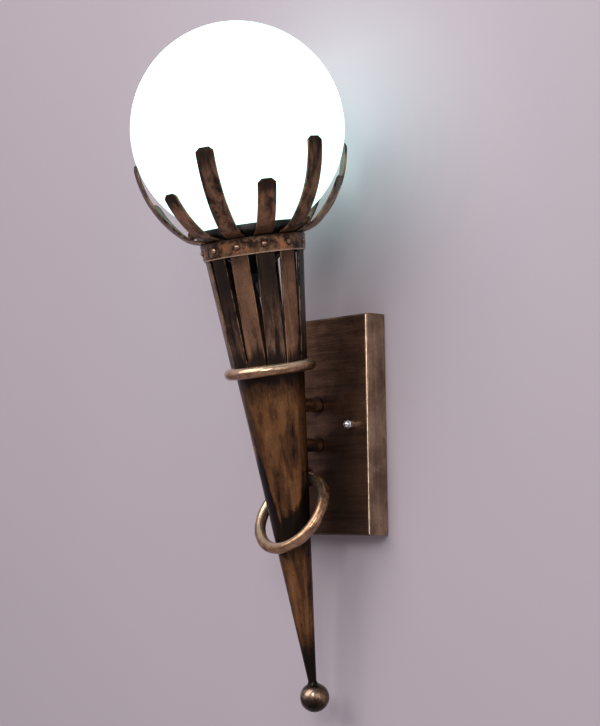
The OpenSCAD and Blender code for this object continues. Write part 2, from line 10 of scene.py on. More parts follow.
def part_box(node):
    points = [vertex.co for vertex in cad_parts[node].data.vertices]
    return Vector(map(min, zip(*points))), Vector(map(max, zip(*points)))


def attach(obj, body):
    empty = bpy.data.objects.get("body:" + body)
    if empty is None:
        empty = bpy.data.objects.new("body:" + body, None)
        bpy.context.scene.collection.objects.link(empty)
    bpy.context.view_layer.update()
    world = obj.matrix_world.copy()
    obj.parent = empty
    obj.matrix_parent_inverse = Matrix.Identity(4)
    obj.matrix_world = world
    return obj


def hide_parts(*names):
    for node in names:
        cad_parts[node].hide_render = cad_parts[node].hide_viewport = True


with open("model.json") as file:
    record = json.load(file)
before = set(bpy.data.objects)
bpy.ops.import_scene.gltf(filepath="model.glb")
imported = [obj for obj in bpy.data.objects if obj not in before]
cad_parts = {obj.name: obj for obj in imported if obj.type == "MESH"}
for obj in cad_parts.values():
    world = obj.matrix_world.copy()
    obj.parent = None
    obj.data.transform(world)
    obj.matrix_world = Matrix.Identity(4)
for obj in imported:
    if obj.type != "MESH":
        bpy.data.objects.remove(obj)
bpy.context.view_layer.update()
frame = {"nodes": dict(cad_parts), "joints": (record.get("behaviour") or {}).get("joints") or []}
scene = bpy.context.scene
scene.view_settings.view_transform = "Standard"

# ------------------------
# The camera stands to the right of the torch, a little below its middle, and looks
# slightly up at it. The torch's middle falls low and right of the picture's centre.
picture_w, picture_h = 600, 726
camera_turn, camera_rise, camera_roll = radians(47.04), radians(-5.11), radians(-0.76)
camera_away = 1.08452
focal_pixels = 1500.34
torch_middle = Vector((0, -0.018, 0))
middle_across, middle_down = 317.65, 426.48

metres_per_pixel = camera_away / focal_pixels
camera_turned = (
    Matrix.Rotation(camera_turn, 4, "Z")
    @ Matrix.Rotation(pi / 2 - camera_rise, 4, "X")
    @ Matrix.Rotation(camera_roll, 4, "Z")
)
camera_moved = Matrix.Translation((
    (picture_w / 2 - middle_across) * metres_per_pixel,
    (middle_down - picture_h / 2) * metres_per_pixel,
    camera_away
))

camera = bpy.data.objects.new("camera", bpy.data.cameras.new("camera"))
scene.collection.objects.link(camera)
scene.camera = camera
camera.data.lens = focal_pixels / picture_h * camera.data.sensor_width
camera.data.clip_start, camera.data.clip_end = 0.05, 20
camera.matrix_world = Matrix.Translation(torch_middle) @ camera_turned @ camera_moved

# ------------------------
# The studio: a pale mauve wall that the torch hangs on, curved into a pale floor. From
# behind, the wall lets the camera and the light through, so the torch's back shows too.


class Value:
    """What a node gives. It is added, multiplied and compared as a number is."""

    def __init__(self, tree, socket):
        self.tree, self.socket = tree, socket

    def __add__(self, other):
        return calc("ADD", self, other)

    def __sub__(self, other):
        return calc("SUBTRACT", self, other)

    def __rsub__(self, other):
        return calc("SUBTRACT", other, self)

    def __mul__(self, other):
        return calc("MULTIPLY", self, other)

    def __rtruediv__(self, other):
        return calc("DIVIDE", other, self)

    def __mod__(self, other):
        return calc("MODULO", self, other)

    def __gt__(self, other):
        return calc("GREATER_THAN", self, other)

    def __abs__(self):
        return calc("ABSOLUTE", self)

    def xyz(self):
        """The three parts of a place."""
        parts = put(self.tree, "ShaderNodeSeparateXYZ", {0: self}).outputs
        return [Value(self.tree, part) for part in parts]


def put(tree, kind, inputs=None, **settings):
    """Adds a node. An input is named by its socket, and is a number or a Value."""
    made = tree.nodes.new(kind)
    for name, value in settings.items():
        setattr(made, name, value)
    for key, value in (inputs or {}).items():
        if isinstance(value, Value):
            tree.links.new(value.socket, made.inputs[key])
        else:
            made.inputs[key].default_value = value
    return made


def give(tree, kind, inputs=None, output=0, **settings):
    """Adds a node and gives one of its outputs."""
    return Value(tree, put(tree, kind, inputs, **settings).outputs[output])


def calc(operation, *values):
    """Arithmetic on values, of which one at least comes from a node."""
    tree = next(v.tree for v in values if isinstance(v, Value))
    return give(tree, "ShaderNodeMath", dict(enumerate(values)), operation=operation)


def most(first, *others):
    """The greatest of some values."""
    for other in others:
        first = calc("MAXIMUM", first, other)
    return first


def row_place(tree):
    """Places on a piece in the wall's frame, in metres."""
    return give(tree, "ShaderNodeTexCoord", output="Object")


def cloud(place, per_metre, detail=4.0, rough=0.55, twist=0.0):
    """Noise, finer along each axis by that axis's count per metre."""
    stretched = give(place.tree, "ShaderNodeMapping", {0: place, "Scale": per_metre})
    return give(place.tree, "ShaderNodeTexNoise", {
        "Vector": stretched, "Scale": 1.0, "Detail": detail, "Roughness": rough, "Distortion": twist
    })


def paint(red, green, blue):
    """A colour as a paint chart gives it, 0 to 255, made ready for a shader."""
    parts = [c / 255 for c in (red, green, blue)]
    return (*[c / 12.92 if c < 0.04045 else ((c + 0.055) / 1.055) ** 2.4 for c in parts], 1)


def lay_over(cover, under, over):
    """One paint laid over another where cover goes from 0 to 1."""
    return give(cover.tree, "ShaderNodeMix", {0: cover, 6: under, 7: over}, 2, data_type="RGBA")


def fresh_material(name):
    """A new material with nothing in its tree."""
    made = bpy.data.materials.new(name)
    made.use_nodes = True
    made.node_tree.nodes.clear()
    return made, made.node_tree


def ray(tree, kind):
    return give(tree, "ShaderNodeLightPath", output=kind)


wall_colour = paint(184, 172, 181)
wall_y = 0.001
wall_top, floor_z = 1.7, -0.62
wall_half, floor_front = 2.6, -2.6
cove_r, cove_steps = 0.16, 10

wall_finish, tree = fresh_material("studio_wall")
unseen = most(
    give(tree, "ShaderNodeNewGeometry", output="Backfacing"),
    ray(tree, "Is Shadow Ray"), ray(tree, "Is Diffuse Ray")
)
blotch = cloud(row_place(tree), [2.2] * 3, 3.0, 0.5)
plaster = give(tree, "ShaderNodeBsdfPrincipled", {
    "Base Color": lay_over(blotch, paint(178, 167, 176), paint(189, 177, 186)), "Roughness": 0.8
})
clear = give(tree, "ShaderNodeBsdfTransparent")
shown = give(tree, "ShaderNodeMixShader", {0: unseen, 1: plaster, 2: clear})
put(tree, "ShaderNodeOutputMaterial", {0: shown})

wall_line = [(wall_y, wall_top)]
for k in range(cove_steps + 1):
    swing = k / cove_steps * pi / 2
    wall_line.append((wall_y - cove_r * (1 - cos(swing)), floor_z + cove_r * (1 - sin(swing))))
wall_line.append((floor_front, floor_z))
corners = [(x, y, z) for y, z in wall_line for x in (-wall_half, wall_half)]
sheets = [(2 * k, 2 * k + 2, 2 * k + 3, 2 * k + 1) for k in range(len(wall_line) - 1)]
wall_mesh = bpy.data.meshes.new("studio_wall")
wall_mesh.from_pydata(corners, [], sheets)
wall_mesh.shade_smooth()
wall_mesh.materials.append(wall_finish)
wall = bpy.data.objects.new("studio_wall", wall_mesh)
scene.collection.objects.link(wall)

world = bpy.data.worlds.new("studio")
scene.world = world
world.use_nodes = True
tree = world.node_tree
tree.nodes.clear()
daylight = give(tree, "ShaderNodeBackground", {"Color": (0.88, 0.85, 0.9, 1), "Strength": 0.37})
pale_room = give(tree, "ShaderNodeBackground", {"Color": wall_colour, "Strength": 1.0})
seen = most(*[ray(tree, f"Is {kind} Ray") for kind in ("Camera", "Glossy", "Transmission")])
room = give(tree, "ShaderNodeMixShader", {0: seen, 1: daylight, 2: pale_room})
put(tree, "ShaderNodeOutputWorld", {0: room})


def softbox(name, at, size, watts, tint=(1, 1, 1)):
    """A square studio lamp at a point, turned to the torch's middle."""
    lamp = bpy.data.objects.new(name, bpy.data.lights.new(name, "AREA"))
    scene.collection.objects.link(lamp)
    lamp.data.size, lamp.data.energy, lamp.data.color = size, watts, tint
    lamp.location = at
    lamp.rotation_euler = (Vector(at) - torch_middle).to_track_quat("Z", "Y").to_euler()


softbox("key_by_the_camera", (0.82, -1.28, 0.55), 0.55, 6.8, (1, 0.98, 0.96))
softbox("window_in_front", (-0.3, -1.3, 0.85), 1.3, 14, (1, 0.97, 0.95))
softbox("fill_from_the_right", (1.45, -0.45, 0.3), 1.0, 3, (0.96, 0.98, 1))
softbox("light_from_behind", (-0.7, 1.1, 0.5), 0.9, 9)

# ------------------------
# The leaning torch: everything from the ball to the globe turns about one axis, which
# leans away from the wall. The globe is lifted along it, so its joint gives the lean.
joints = {j["name"]: j for j in frame["joints"]}
lift_axis = joints["globe_lift"]["axis"]
torch_lean = atan2(-lift_axis[1], lift_axis[2])
ball_low, ball_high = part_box("tip_ball")
ball_r = (ball_high.x - ball_low.x) / 2
ball_at = Vector((0, ball_low.y + ball_r, ball_low.z + ball_r))
TORCH = Matrix.Translation(ball_at) @ Matrix.Rotation(torch_lean, 4, "X")


def upright_points(node):
    """A node's points, with the torch stood upright on its ball."""
    back = TORCH.inverted()
    return [back @ v.co for v in frame["nodes"][node].data.vertices]


def upright(node):
    """Lowest and highest corners of a node, with the torch stood upright on its ball."""
    points = upright_points(node)
    return Vector(map(min, zip(*points))), Vector(map(max, zip(*points)))


def leaning_place(middle, slant):
    """Places on a piece in a frame that leans about a middle, in metres."""
    def place(tree):
        laid = {0: row_place(tree), "Location": middle, "Rotation": (slant, 0, 0)}
        return give(tree, "ShaderNodeMapping", laid, vector_type="TEXTURE")
    return place


torch_place = leaning_place(ball_at, torch_lean)

# ------------------------
# Back plate: a pan pressed from sheet steel, brushed across its face, blackened and
# rubbed with bronze. The finish is worn to bright metal along the folded front edges, and
# a painted highlight is laid along those folds. The folded sides are painted lighter as a
# painted reflection of the pale wall, and the face carries painted shade towards its foot
# and a painted shadow round each arm.
plate_low, plate_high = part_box("back_plate")
plate_half_w, plate_half_h = plate_high.x, plate_high.z
plate_front = -plate_low.y
plate_side = plate_half_w - 0.0004
arm_low, arm_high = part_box("upper_arm")
arm_z = (arm_low.z + arm_high.z) / 2
arm_r = arm_high.x
lower_low, lower_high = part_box("lower_arm")
arms_mid = (arm_z + (lower_low.z + lower_high.z) / 2) / 2
arms_half = arm_z - arms_mid


def ease(value, low, high, at_low=0.0, at_high=1.0):
    """Goes smoothly from at_low to at_high as the value goes from low to high."""
    return give(value.tree, "ShaderNodeMapRange", {
        0: value, 1: low, 2: high, 3: at_low, 4: at_high
    }, interpolation_type="SMOOTHSTEP")


def distance(x, y):
    return calc("SQRT", x * x + y * y)


def surface(tree, looks, relief, strength, depth):
    """Ends a material with its looks and the relief of its face."""
    looks["Normal"] = give(tree, "ShaderNodeBump", {
        "Height": relief, "Strength": strength, "Distance": depth
    })
    put(tree, "ShaderNodeOutputMaterial", {0: give(tree, "ShaderNodeBsdfPrincipled", looks)})


def rubbed_metal(
    name, place_of, smear, tones, stops=(0.36, 0.46, 0.54, 0.66), mottle=60.0,
    weights=(0.46, 0.14, 0.4), dark=None, worn=None, shine=(0.3, 0.48), dent=0.00012, tone=None,
    sparkle=0.5
):
    """Blackened metal with bronze rubbed over it in soft smears. tones are the ground, umber,
    bronze, copper and worn metal; dark and worn give where the first and the last show.
    In some pieces dark also carries painted shade, and worn carries painted highlights and a
    painted reflection."""
    made, tree = fresh_material(name)
    place = place_of(tree)
    tones = [paint(*t) for t in tones]
    smears = cloud(place, smear, 3.0, 0.5, 0.5)
    scratch = cloud(place, [s * 6 for s in smear], 3.0, 0.6)
    blotch = cloud(place, [mottle] * 3, 6.0, 0.66, 0.3)
    speck = cloud(place, [1500] * 3, 2.0, 0.5)
    body = smears * weights[0] + scratch * weights[1] + blotch * weights[2]
    if tone:
        body = body + tone(place)
    chart = put(tree, "ShaderNodeValToRGB", {0: body})
    chart.color_ramp.interpolation = "EASE"
    for k, (stop, colour) in enumerate(zip(stops, tones)):
        mark = chart.color_ramp.elements[k] if k < 2 else chart.color_ramp.elements.new(stop)
        mark.position, mark.color = stop, colour
    ground, bright = tones[0], tones[4]
    glint = ease(speck, 0.55, 0.72) * ease(body, stops[1], stops[3], sparkle * 0.1, sparkle)
    colour = lay_over(glint, Value(tree, chart.outputs[0]), bright)
    if dark:
        colour = lay_over(dark(place, blotch, smears), colour, ground)
    if worn:
        colour = lay_over(worn(place, blotch, scratch), colour, bright)
    gloss = ease(body, stops[0], stops[3], shine[1], shine[0])
    looks = {"Base Color": colour, "Metallic": 0.86, "Roughness": gloss}
    surface(tree, looks, blotch * 0.6 + speck * 0.4, 0.6, dent)
    return made


def plate_place(tree):
    """The wall's frame, turned on the folded sides so that their brushing runs upright."""
    place = row_place(tree)
    x, y, z = place.xyz()
    upright_way = give(tree, "ShaderNodeCombineXYZ", {0: z, 1: x, 2: y})
    either = {0: abs(x) > plate_side, 4: place, 5: upright_way}
    return give(tree, "ShaderNodeMix", either, 1, data_type="VECTOR")


def plate_wear_and_sheen(place, blotch, scratch):
    """The front folds, worn through in patches with a painted highlight laid along them, and
    the sides, painted lighter as a painted reflection of the wall.
    """
    place = row_place(place.tree)
    x, y, z = place.xyz()
    out_x = ease(abs(x), plate_half_w - 0.0018, plate_half_w - 0.0006)
    out_z = ease(abs(z), plate_half_h - 0.0015, plate_half_h - 0.0004, 0.0, 0.6)
    to_front = ease(y, 0.0003 - plate_front, 0.001 - plate_front, 1.0, 0.0)
    chips = cloud(place, (400, 400, 120), 4.0, 0.6)
    # the front folds: wear, with a painted highlight along them
    ragged = ease(chips * 0.8 + most(out_x, out_z) * to_front, 0.86, 1.2)
    lengths = ease(cloud(place, (30, 30, 42), 3.0, 0.6), 0.34, 0.52, 0.6, 1.0)
    # painted reflection: the folded sides painted lighter, as the pale wall shows in them
    painted_side_sheen = (abs(x) > plate_side) * ease(blotch, 0.35, 0.65, 0.06, 0.2)
    return most(ragged * lengths, painted_side_sheen)


def plate_painted_shade(place, blotch, smears):
    """Painted shade: the face darker towards its foot, and a painted shadow round each arm."""
    x, y, z = row_place(place.tree).xyz()
    on_face = ease(y, 0.001 - plate_front, 0.003 - plate_front, 1.0, 0.0)
    # painted shade, darker towards the foot of the face
    low = ease((blotch - 0.5) * 0.12 + z, -0.02, 0.07, 0.62, 0.12)
    from_arm = distance(x, abs(z - arms_mid) - arms_half)
    # painted shadow round each arm's foot
    painted_arm_shadows = ease(from_arm, arm_r + 0.0008, arm_r + 0.0042, 0.92, 0.0)
    return most(low, painted_arm_shadows) * on_face


# Cream of bright worn metal, also the colour of the plate's painted highlight and painted
# reflection.
cream_wear_and_sheen = (255, 228, 196)
plate_bronze = rubbed_metal(
    "plate_brushed_bronze", plate_place, (10, 30, 150),
    ((44, 30, 24), (92, 66, 50), (122, 92, 70), (150, 116, 88), cream_wear_and_sheen),
    stops=(0.34, 0.44, 0.53, 0.66), mottle=34.0, weights=(0.4, 0.24, 0.36), dark=plate_painted_shade,
    worn=plate_wear_and_sheen, shine=(0.32, 0.46), dent=0.00005
)


def refinish(finish, *nodes):
    """Pieces whose shapes are right as they are only get their finish."""
    for node in nodes:
        frame["nodes"][node].material_slots[0].material = finish


refinish(plate_bronze, "back_plate")

# ------------------------
# Wall bracket, studs, stud nuts and arm nuts: zinc-plated steel, hidden behind the plate.
# Plating has a faint crystal pattern and picks up fine scratches.


def two_tones(pattern, shade, colour):
    """Two close colours that run into each other in a cloudy pattern."""
    return lay_over(ease(pattern, 0.35, 0.65), paint(*shade), paint(*colour))


def plated(name, colour, shade, roughness, speckle=260.0):
    """Plated metal: two close tones in a fine cloudy pattern, lightly scratched."""
    made, tree = fresh_material(name)
    scratch = cloud(row_place(tree), (2400, 90, 90), 3.0, 0.6)
    surface(tree, {
        "Base Color": two_tones(cloud(row_place(tree), [speckle] * 3, 3.0, 0.5), shade, colour),
        "Metallic": 1.0,
        "Roughness": ease(scratch, 0.3, 0.7, roughness * 0.75, roughness * 1.25)
    }, scratch, 0.3, 0.00003)
    return made


zinc_plate = plated("zinc_plated_steel", (205, 205, 200), (168, 170, 168), 0.34)
refinish(zinc_plate, "wall_bracket", "bracket_studs", "stud_nuts", "arm_nuts")

# ------------------------
# Earth screw and terminal screws: plain turned brass with a saw slot.
turned_brass = plated("turned_brass", (218, 180, 98), (176, 134, 66), 0.28)
refinish(turned_brass, "earth_screw", "terminal_screws")

# ------------------------
# Cap nuts: two small chromed dome nuts that hold the plate to the studs. Each is turned
# from hexagon bar: chamfered flats below a round dome.
nut_low, nut_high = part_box("cap_nuts")
nut_out = nut_high.y - nut_low.y
nut_flats = (nut_high.z - nut_low.z) * cos(pi / 6)
stud_x = (nut_high.x - nut_low.x) / 2 - nut_flats / 2


def arc(r, h, radius, start, end, steps):
    """Part of a circle about (r, h), from one angle to another, in degrees above level."""
    angles = [radians(start + (end - start) * k / steps) for k in range(steps + 1)]
    return [Vector((r + radius * cos(a), h + radius * sin(a))) for a in angles]


def skin(bm, rings, ends_meet=False):
    """Faces between rings of points, from each ring to the next."""
    pairs = list(zip(rings, rings[1:])) + ([(rings[-1], rings[0])] if ends_meet else [])
    for low, high in pairs:
        for k in range(len(low)):
            m = (k + 1) % len(low)
            bm.faces.new((low[k], low[m], high[m], high[k]))


def finish_mesh(bm, name, place, sharp=38):
    """Closes seams and poles, turns the faces outwards, and puts the mesh in its place."""
    bmesh.ops.remove_doubles(bm, verts=bm.verts, dist=2e-6)
    bmesh.ops.recalc_face_normals(bm, faces=bm.faces)
    mesh = bpy.data.meshes.new(name)
    bm.to_mesh(mesh)
    bm.free()
    mesh.transform(place)
    mesh.shade_smooth()
    mesh.set_sharp_from_angle(angle=radians(sharp))
    return mesh


def turned(name, line, place, ends_meet=False, sides=96, shape=None, sharp=38):
    """Turns an outline of (radius, height) points about Z. shape moves each point."""
    bm = bmesh.new()
    turns = [2 * pi * k / sides for k in range(sides)]
    rings = []
    for r, h in line:
        spots = [Vector((r * sin(a), -r * cos(a), h)) for a in turns]
        rings.append([bm.verts.new(shape(p) if shape else p) for p in spots])
    skin(bm, rings, ends_meet)
    return finish_mesh(bm, name, place, sharp)


def dress(name, mesh, finish, slot, *nodes, body="sconce_frame"):
    """Puts a finished piece on a body, in place of the plain nodes that it stands for."""
    made = bpy.data.objects.new(name, mesh)
    scene.collection.objects.link(made)
    mesh.materials.clear()
    mesh.materials.append(finish)
    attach(made, body)
    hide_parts(*nodes)


def spin(name, line, finish, slot, node, body="sconce_frame", **turning):
    """Turns an outline about the torch's axis and dresses the piece."""
    dress(name, turned(node, line, TORCH, **turning), finish, slot, node, body=body)


def join_meshes(name, meshes):
    bm = bmesh.new()
    for mesh in meshes:
        bm.from_mesh(mesh)
        bpy.data.meshes.remove(mesh)
    joined = bpy.data.meshes.new(name)
    bm.to_mesh(joined)
    bm.free()
    return joined


def pushed(point, by):
    """Pushes a point away from the axis."""
    away = point.xy.length
    if away < 1e-5:
        return point
    return Vector((point.x * (1 + by / away), point.y * (1 + by / away), point.z))


def in_nut_bar(point):
    """Keeps what is turned inside the hexagon bar."""
    angle = atan2(point.x, point.y) % (pi / 3) - pi / 6
    return pushed(point, min(0.0, nut_flats / 2 / cos(angle) - point.xy.length))


def out_of_wall(x, y, z):
    """Stands what is drawn along +Z out of the wall."""
    return Matrix.Translation((x, y, z)) @ Matrix.Rotation(pi / 2, 4, "X")


def cap_nut(x):
    corner = nut_flats / 2 / cos(pi / 6)
    dome_r = nut_flats / 2 - 0.0003
    waist = nut_out - dome_r
    line = [
        (0, 0), (nut_flats / 2, 0), (corner, 0.0005), (corner, waist - 0.0012),
        (corner - 0.0003, waist - 0.0007), (dome_r + 0.0001, waist - 0.0001),
        *arc(0, waist, dome_r, 0, 90, 12)
    ]
    place = out_of_wall(x, -plate_front, 0)
    return turned("cap_nut", line, place, shape=in_nut_bar, sharp=30)


chrome = plated("bright_chrome", (232, 232, 234), (214, 214, 218), 0.1, 90.0)
nut_pair = join_meshes("cap_nuts", [cap_nut(-stud_x), cap_nut(stud_x)])
dress("chromed_cap_nuts", nut_pair, chrome, "chrome", "cap_nuts")

# ------------------------
# Arms: two short steel tubes from the plate to the back of the cone, blackened and
# rubbed with bronze in small patches.
arm_bronze = rubbed_metal(
    "arm_blackened_bronze", row_place, (160, 60, 160),
    ((34, 25, 20), (86, 62, 46), (128, 96, 72), (158, 120, 88), cream_wear_and_sheen),
    mottle=110.0, dent=0.00008
)
refinish(arm_bronze, "upper_arm", "lower_arm")

# ------------------------
# Cone: sheet steel rolled to a long taper and welded up the back, hand-dressed so that
# its face isn't quite true. Bronze is rubbed up its length over black, in ragged tongues.
collar_low, collar_high = upright("collar_ring")
rod_r = (collar_high.z - collar_low.z) / 2
collar_h = (collar_high.z + collar_low.z) / 2
cone_wall = 0.0012
cone_foot_r = 0.0029
cone_foot_h = ball_r + 0.0005
cone_top_r, _, cone_top_h = upright("torch_cone")[1]
cone_hollow_h = cone_foot_h + 0.024
cone_rows = 110
lead_hole_r = 0.0035


def cone_radius(h):
    return cone_foot_r + (cone_top_r - cone_foot_r) * (h - cone_foot_h) / (cone_top_h - cone_foot_h)


def dressed(point):
    """Long shallow dents, and a beaded weld down the back."""
    dent_depth, weld_proud, weld_half_w, bead_pitch = 0.00022, 0.00045, 0.0016, 0.0024
    lump = noise.noise(Vector((point.x * 90, point.y * 90, point.z * 22)))
    lump += 0.4 * noise.noise(Vector((point.x * 260, point.y * 260, point.z * 70 + 7)))
    from_seam = atan2(point.x, point.y) * point.xy.length
    bead = max(0.0, 1 - (from_seam / weld_half_w) ** 2)
    bead *= 0.75 + 0.25 * sin(point.z * 2 * pi / bead_pitch)
    return pushed(point, lump * dent_depth + bead * weld_proud)


def bored(mesh, at, radius, length):
    """Cuts a round hole out of the wall's direction through a mesh."""
    line = [(0, 0), (radius, 0), (radius, length), (0, length)]
    drill = turned("drill", line, out_of_wall(*at), sides=48)
    block, bit = (bpy.data.objects.new(n, m) for n, m in (("block", mesh), ("bit", drill)))
    for thing in (block, bit):
        scene.collection.objects.link(thing)
    cut = block.modifiers.new("hole", "BOOLEAN")
    cut.operation, cut.object, cut.solver = "DIFFERENCE", bit, "EXACT"
    bpy.context.view_layer.update()
    seen_now = bpy.context.evaluated_depsgraph_get()
    result = bpy.data.meshes.new_from_object(block.evaluated_get(seen_now))
    for thing in (block, bit):
        bpy.data.objects.remove(thing)
    return result


heights = [
    cone_foot_h + (cone_top_h - cone_foot_h) * k / cone_rows for k in range(cone_rows + 1)
]
cone_line = [(0, cone_foot_h)] + [(cone_radius(h), h) for h in heights]
cone_line += [(cone_radius(h) - cone_wall, h) for h in reversed(heights) if h > cone_hollow_h]
cone_line += [(0, cone_hollow_h)]
cone_mesh = turned("torch_cone", cone_line, TORCH, sides=168, shape=dressed)
cone_mesh = bored(cone_mesh, (0, arm_high.y, arm_z), lead_hole_r, -arm_low.y + 0.001)


def bearing_of(x, y):
    """The angle round the torch from its front, towards +X."""
    return calc("ARCTAN2", x, y * -1.0)


def cone_dark(place, blotch, smears):
    """Black under the collar ring, below the tongues low on the cone, and at its point.
    Heights are in metres above the ball's middle."""
    x, y, h = place.xyz()
    level = (blotch - 0.5) * 0.036 + ((smears - 0.5) * 0.032 + h)
    angle = bearing_of(x, y)
    steep_side = ease(angle, radians(-12), radians(24), 0.052, 0.0)
    slow_side = ease(angle, radians(24), radians(185), 0.0, 0.066)
    under_collar = ease(level, collar_h - 0.022, collar_h - 0.006)
    below_tongue = ease(level - (steep_side + slow_side), 0.121, 0.13, 1.0, 0.0)
    past_gap = ease(level, 0.096, 0.112)
    at_point = ease(level, 0.03, 0.056, 1.0, 0.0)
    return most(under_collar, below_tongue * past_gap, at_point) * 0.97


cone_bronze = rubbed_metal(
    "cone_rubbed_bronze", torch_place, (120, 120, 14),
    ((24, 18, 14), (86, 57, 35), (124, 86, 52), (158, 113, 70), (226, 186, 142)),
    stops=(0.36, 0.45, 0.54, 0.68), mottle=60.0, weights=(0.56, 0.16, 0.28), dark=cone_dark,
    shine=(0.32, 0.48), dent=0.00012
)
dress("rolled_cone", cone_mesh, cone_bronze, "cone_bronze", "torch_cone")

# ------------------------
# Tip ball: a solid ball with a drilled socket that the cone's point is fixed in. A little
# weld metal fills the corner. Its upper front is rubbed bright and carries a painted
# highlight, and its underside is painted dark as painted shade.


def lump_at(point, size, seed):
    return noise.noise(point / size + Vector((seed, 0, 0)))


def hammered_ball(point):
    """Moves a point of the ball in or out a little, as hand work leaves it."""
    if point.xy.length < 1e-5:
        return point
    return point + point.normalized() * lump_at(point, 0.006, -1) * 0.00018


def ball_dark(place, blotch, smears):
    """Black in the corner under the cone, and painted shade round the underside."""
    level = (blotch - 0.5) * 0.016 + place.xyz()[2]
    top = ease(level, ball_r * 0.66, ball_r * 0.88)
    # the corner's black, and painted shade round the underside
    return most(top, ease(level, -ball_r * 0.7, ball_r * 0.15, 0.92, 0.0))


def ball_wear_and_highlight(place, blotch, scratch):
    """The upper front, rubbed to bright metal in patches, with a painted highlight where it faces
    the lamps.
    """
    x, y, h = place.xyz()
    facing = y * -0.7 + h * 0.7
    ragged = (blotch - 0.5) * (ball_r * 2.0) + facing
    # painted highlight on the upper front, with rubbed patches
    rubbed = ease(ragged, ball_r * 0.5, ball_r * 1.1, 0.0, 0.22)
    return rubbed * ease(h, ball_r * 0.6, ball_r * 0.8, 1.0, 0.0)


ball_neck_r = cone_foot_r + 0.0005
ball_line = arc(0, 0, ball_r - 0.0001, -90, 68, 34) + [
    (ball_neck_r + 0.0002, ball_r - 0.0002), (ball_neck_r - 0.0002, cone_foot_h + 0.0004),
    (0, cone_foot_h + 0.0005)
]
ball_bronze = rubbed_metal(
    "ball_copper_painted_light", torch_place, (150, 150, 110),
    ((26, 20, 15), (64, 48, 36), (96, 74, 56), (138, 109, 84), (250, 226, 200)),
    mottle=150.0, dark=ball_dark, worn=ball_wear_and_highlight, shine=(0.16, 0.34), dent=0.00008
)
spin("rubbed_ball", ball_line, ball_bronze, "rubbed_copper", "tip_ball", shape=hammered_ball)

# ------------------------
# Collar ring: round rod bent to a ring, butt-welded at the back and pushed up the cone
# until it jams. The rod keeps the slight waves of hand bending.


def rod_ring(name, radius, place, seed):
    """A ring of round rod, a little uneven, with its weld at the back."""
    around, sides = 168, 28
    uneven, weld_proud, weld_half_w = 0.0001, 0.00022, 0.0022
    bm = bmesh.new()
    loops = []
    for i in range(around):
        turn = 2 * pi * i / around
        outward = Vector((sin(turn), -cos(turn), 0))
        wave = noise.noise(outward * 1.7 + Vector((seed, 0, 0))) * uneven
        weld = max(0.0, 1 - (abs(turn - pi) * radius / weld_half_w) ** 2) * weld_proud
        spots = []
        for k in range(sides):
            angle = 2 * pi * k / sides
            side = outward * cos(angle) + Vector((0, 0, sin(angle)))
            spot = (outward * radius + side * rod_r) / 0.005
            dent = noise.noise(spot + Vector((0, seed, 0))) * uneven
            spots.append(outward * (radius + wave) + side * (rod_r - 0.0002 + dent + weld))
        loops.append([bm.verts.new(p) for p in spots])
    skin(bm, loops, ends_meet=True)
    return finish_mesh(bm, name, place)


# Cream of rubbed copper, also the colour of the rings' painted highlights.
cream_rub_and_highlight = (255, 230, 196)


def ring_finish(name, middle, slant, radius, inner):
    """Rubbed copper with a painted highlight in cream on the rod's upper side: on its inner half (1)
    or its outer (-1).
    """
    def painted_upper_highlight(place, blotch, scratch):
        x, y, z = place.xyz()
        # painted highlight where the rod faces up, and inwards or outwards
        facing = z * 0.8 + (radius - distance(x, y)) * (inner * 0.6)
        return ease(blotch * (rod_r * 0.5) + facing, rod_r * 0.7, rod_r * 1.2, 0.0, 0.45)

    return rubbed_metal(
        name, leaning_place(middle, slant), (140, 140, 140),
        ((54, 40, 30), (116, 88, 65), (154, 121, 92), (192, 158, 124), cream_rub_and_highlight),
        stops=(0.34, 0.43, 0.52, 0.66), mottle=100.0, shine=(0.17, 0.28), dent=0.00003,
        sparkle=0.2, worn=painted_upper_highlight
    )


collar_r = (collar_high.x - collar_low.x) / 2 - rod_r
collar_at = Matrix.Translation((0, 0, collar_h))
# The collar carries a painted highlight along the rod's upper outer side.
collar_bronze = ring_finish(
    "collar_copper_painted_highlight", TORCH @ collar_at.translation, torch_lean, collar_r, -1.0
)
collar_mesh = rod_ring("collar_ring", collar_r, TORCH @ collar_at, 3.0)
dress("welded_collar", collar_mesh, collar_bronze, "rubbed_copper", "collar_ring")

# ------------------------
# Ring staple: thin rod bent to a bow, its two legs welded to the back of the cone. The
# hanging ring passes through it.
staple_low, staple_high = upright("ring_staple")
ring_pivot = TORCH.inverted() @ Vector(joints["ring_swing"]["pos_m"])
staple_rod = 0.0015
staple_bow = (staple_high.z - staple_low.z) / 2 - staple_rod
leg_steps = 12


def tube(name, points, radius, place, sides=20, shape=None):
    """A closed tube along points, which never run along X."""
    bm = bmesh.new()
    loops = []
    for i, point in enumerate(points):
        ahead = (points[min(i + 1, len(points) - 1)] - points[max(i - 1, 0)]).normalized()
        aside = ahead.cross(Vector((1, 0, 0))).normalized()
        upward = ahead.cross(aside)
        spots = []
        for k in range(sides):
            angle = 2 * pi * k / sides
            side = aside * cos(angle) + upward * sin(angle)
            spots.append(point + side * (radius + (shape(point, side) if shape else 0)))
        loops.append([bm.verts.new(p) for p in spots])
    skin(bm, loops)
    bm.faces.new(loops[0])
    bm.faces.new(loops[-1])
    return finish_mesh(bm, name, place)


def staple_bump(point, side):
    """Weld metal gathers where the legs meet the cone."""
    near = max(0.0, 1 - (point.y - cone_radius(point.z)) / 0.0022)
    return near * 0.0009 + noise.noise((point + side * 0.0015) / 0.002) * 0.00006


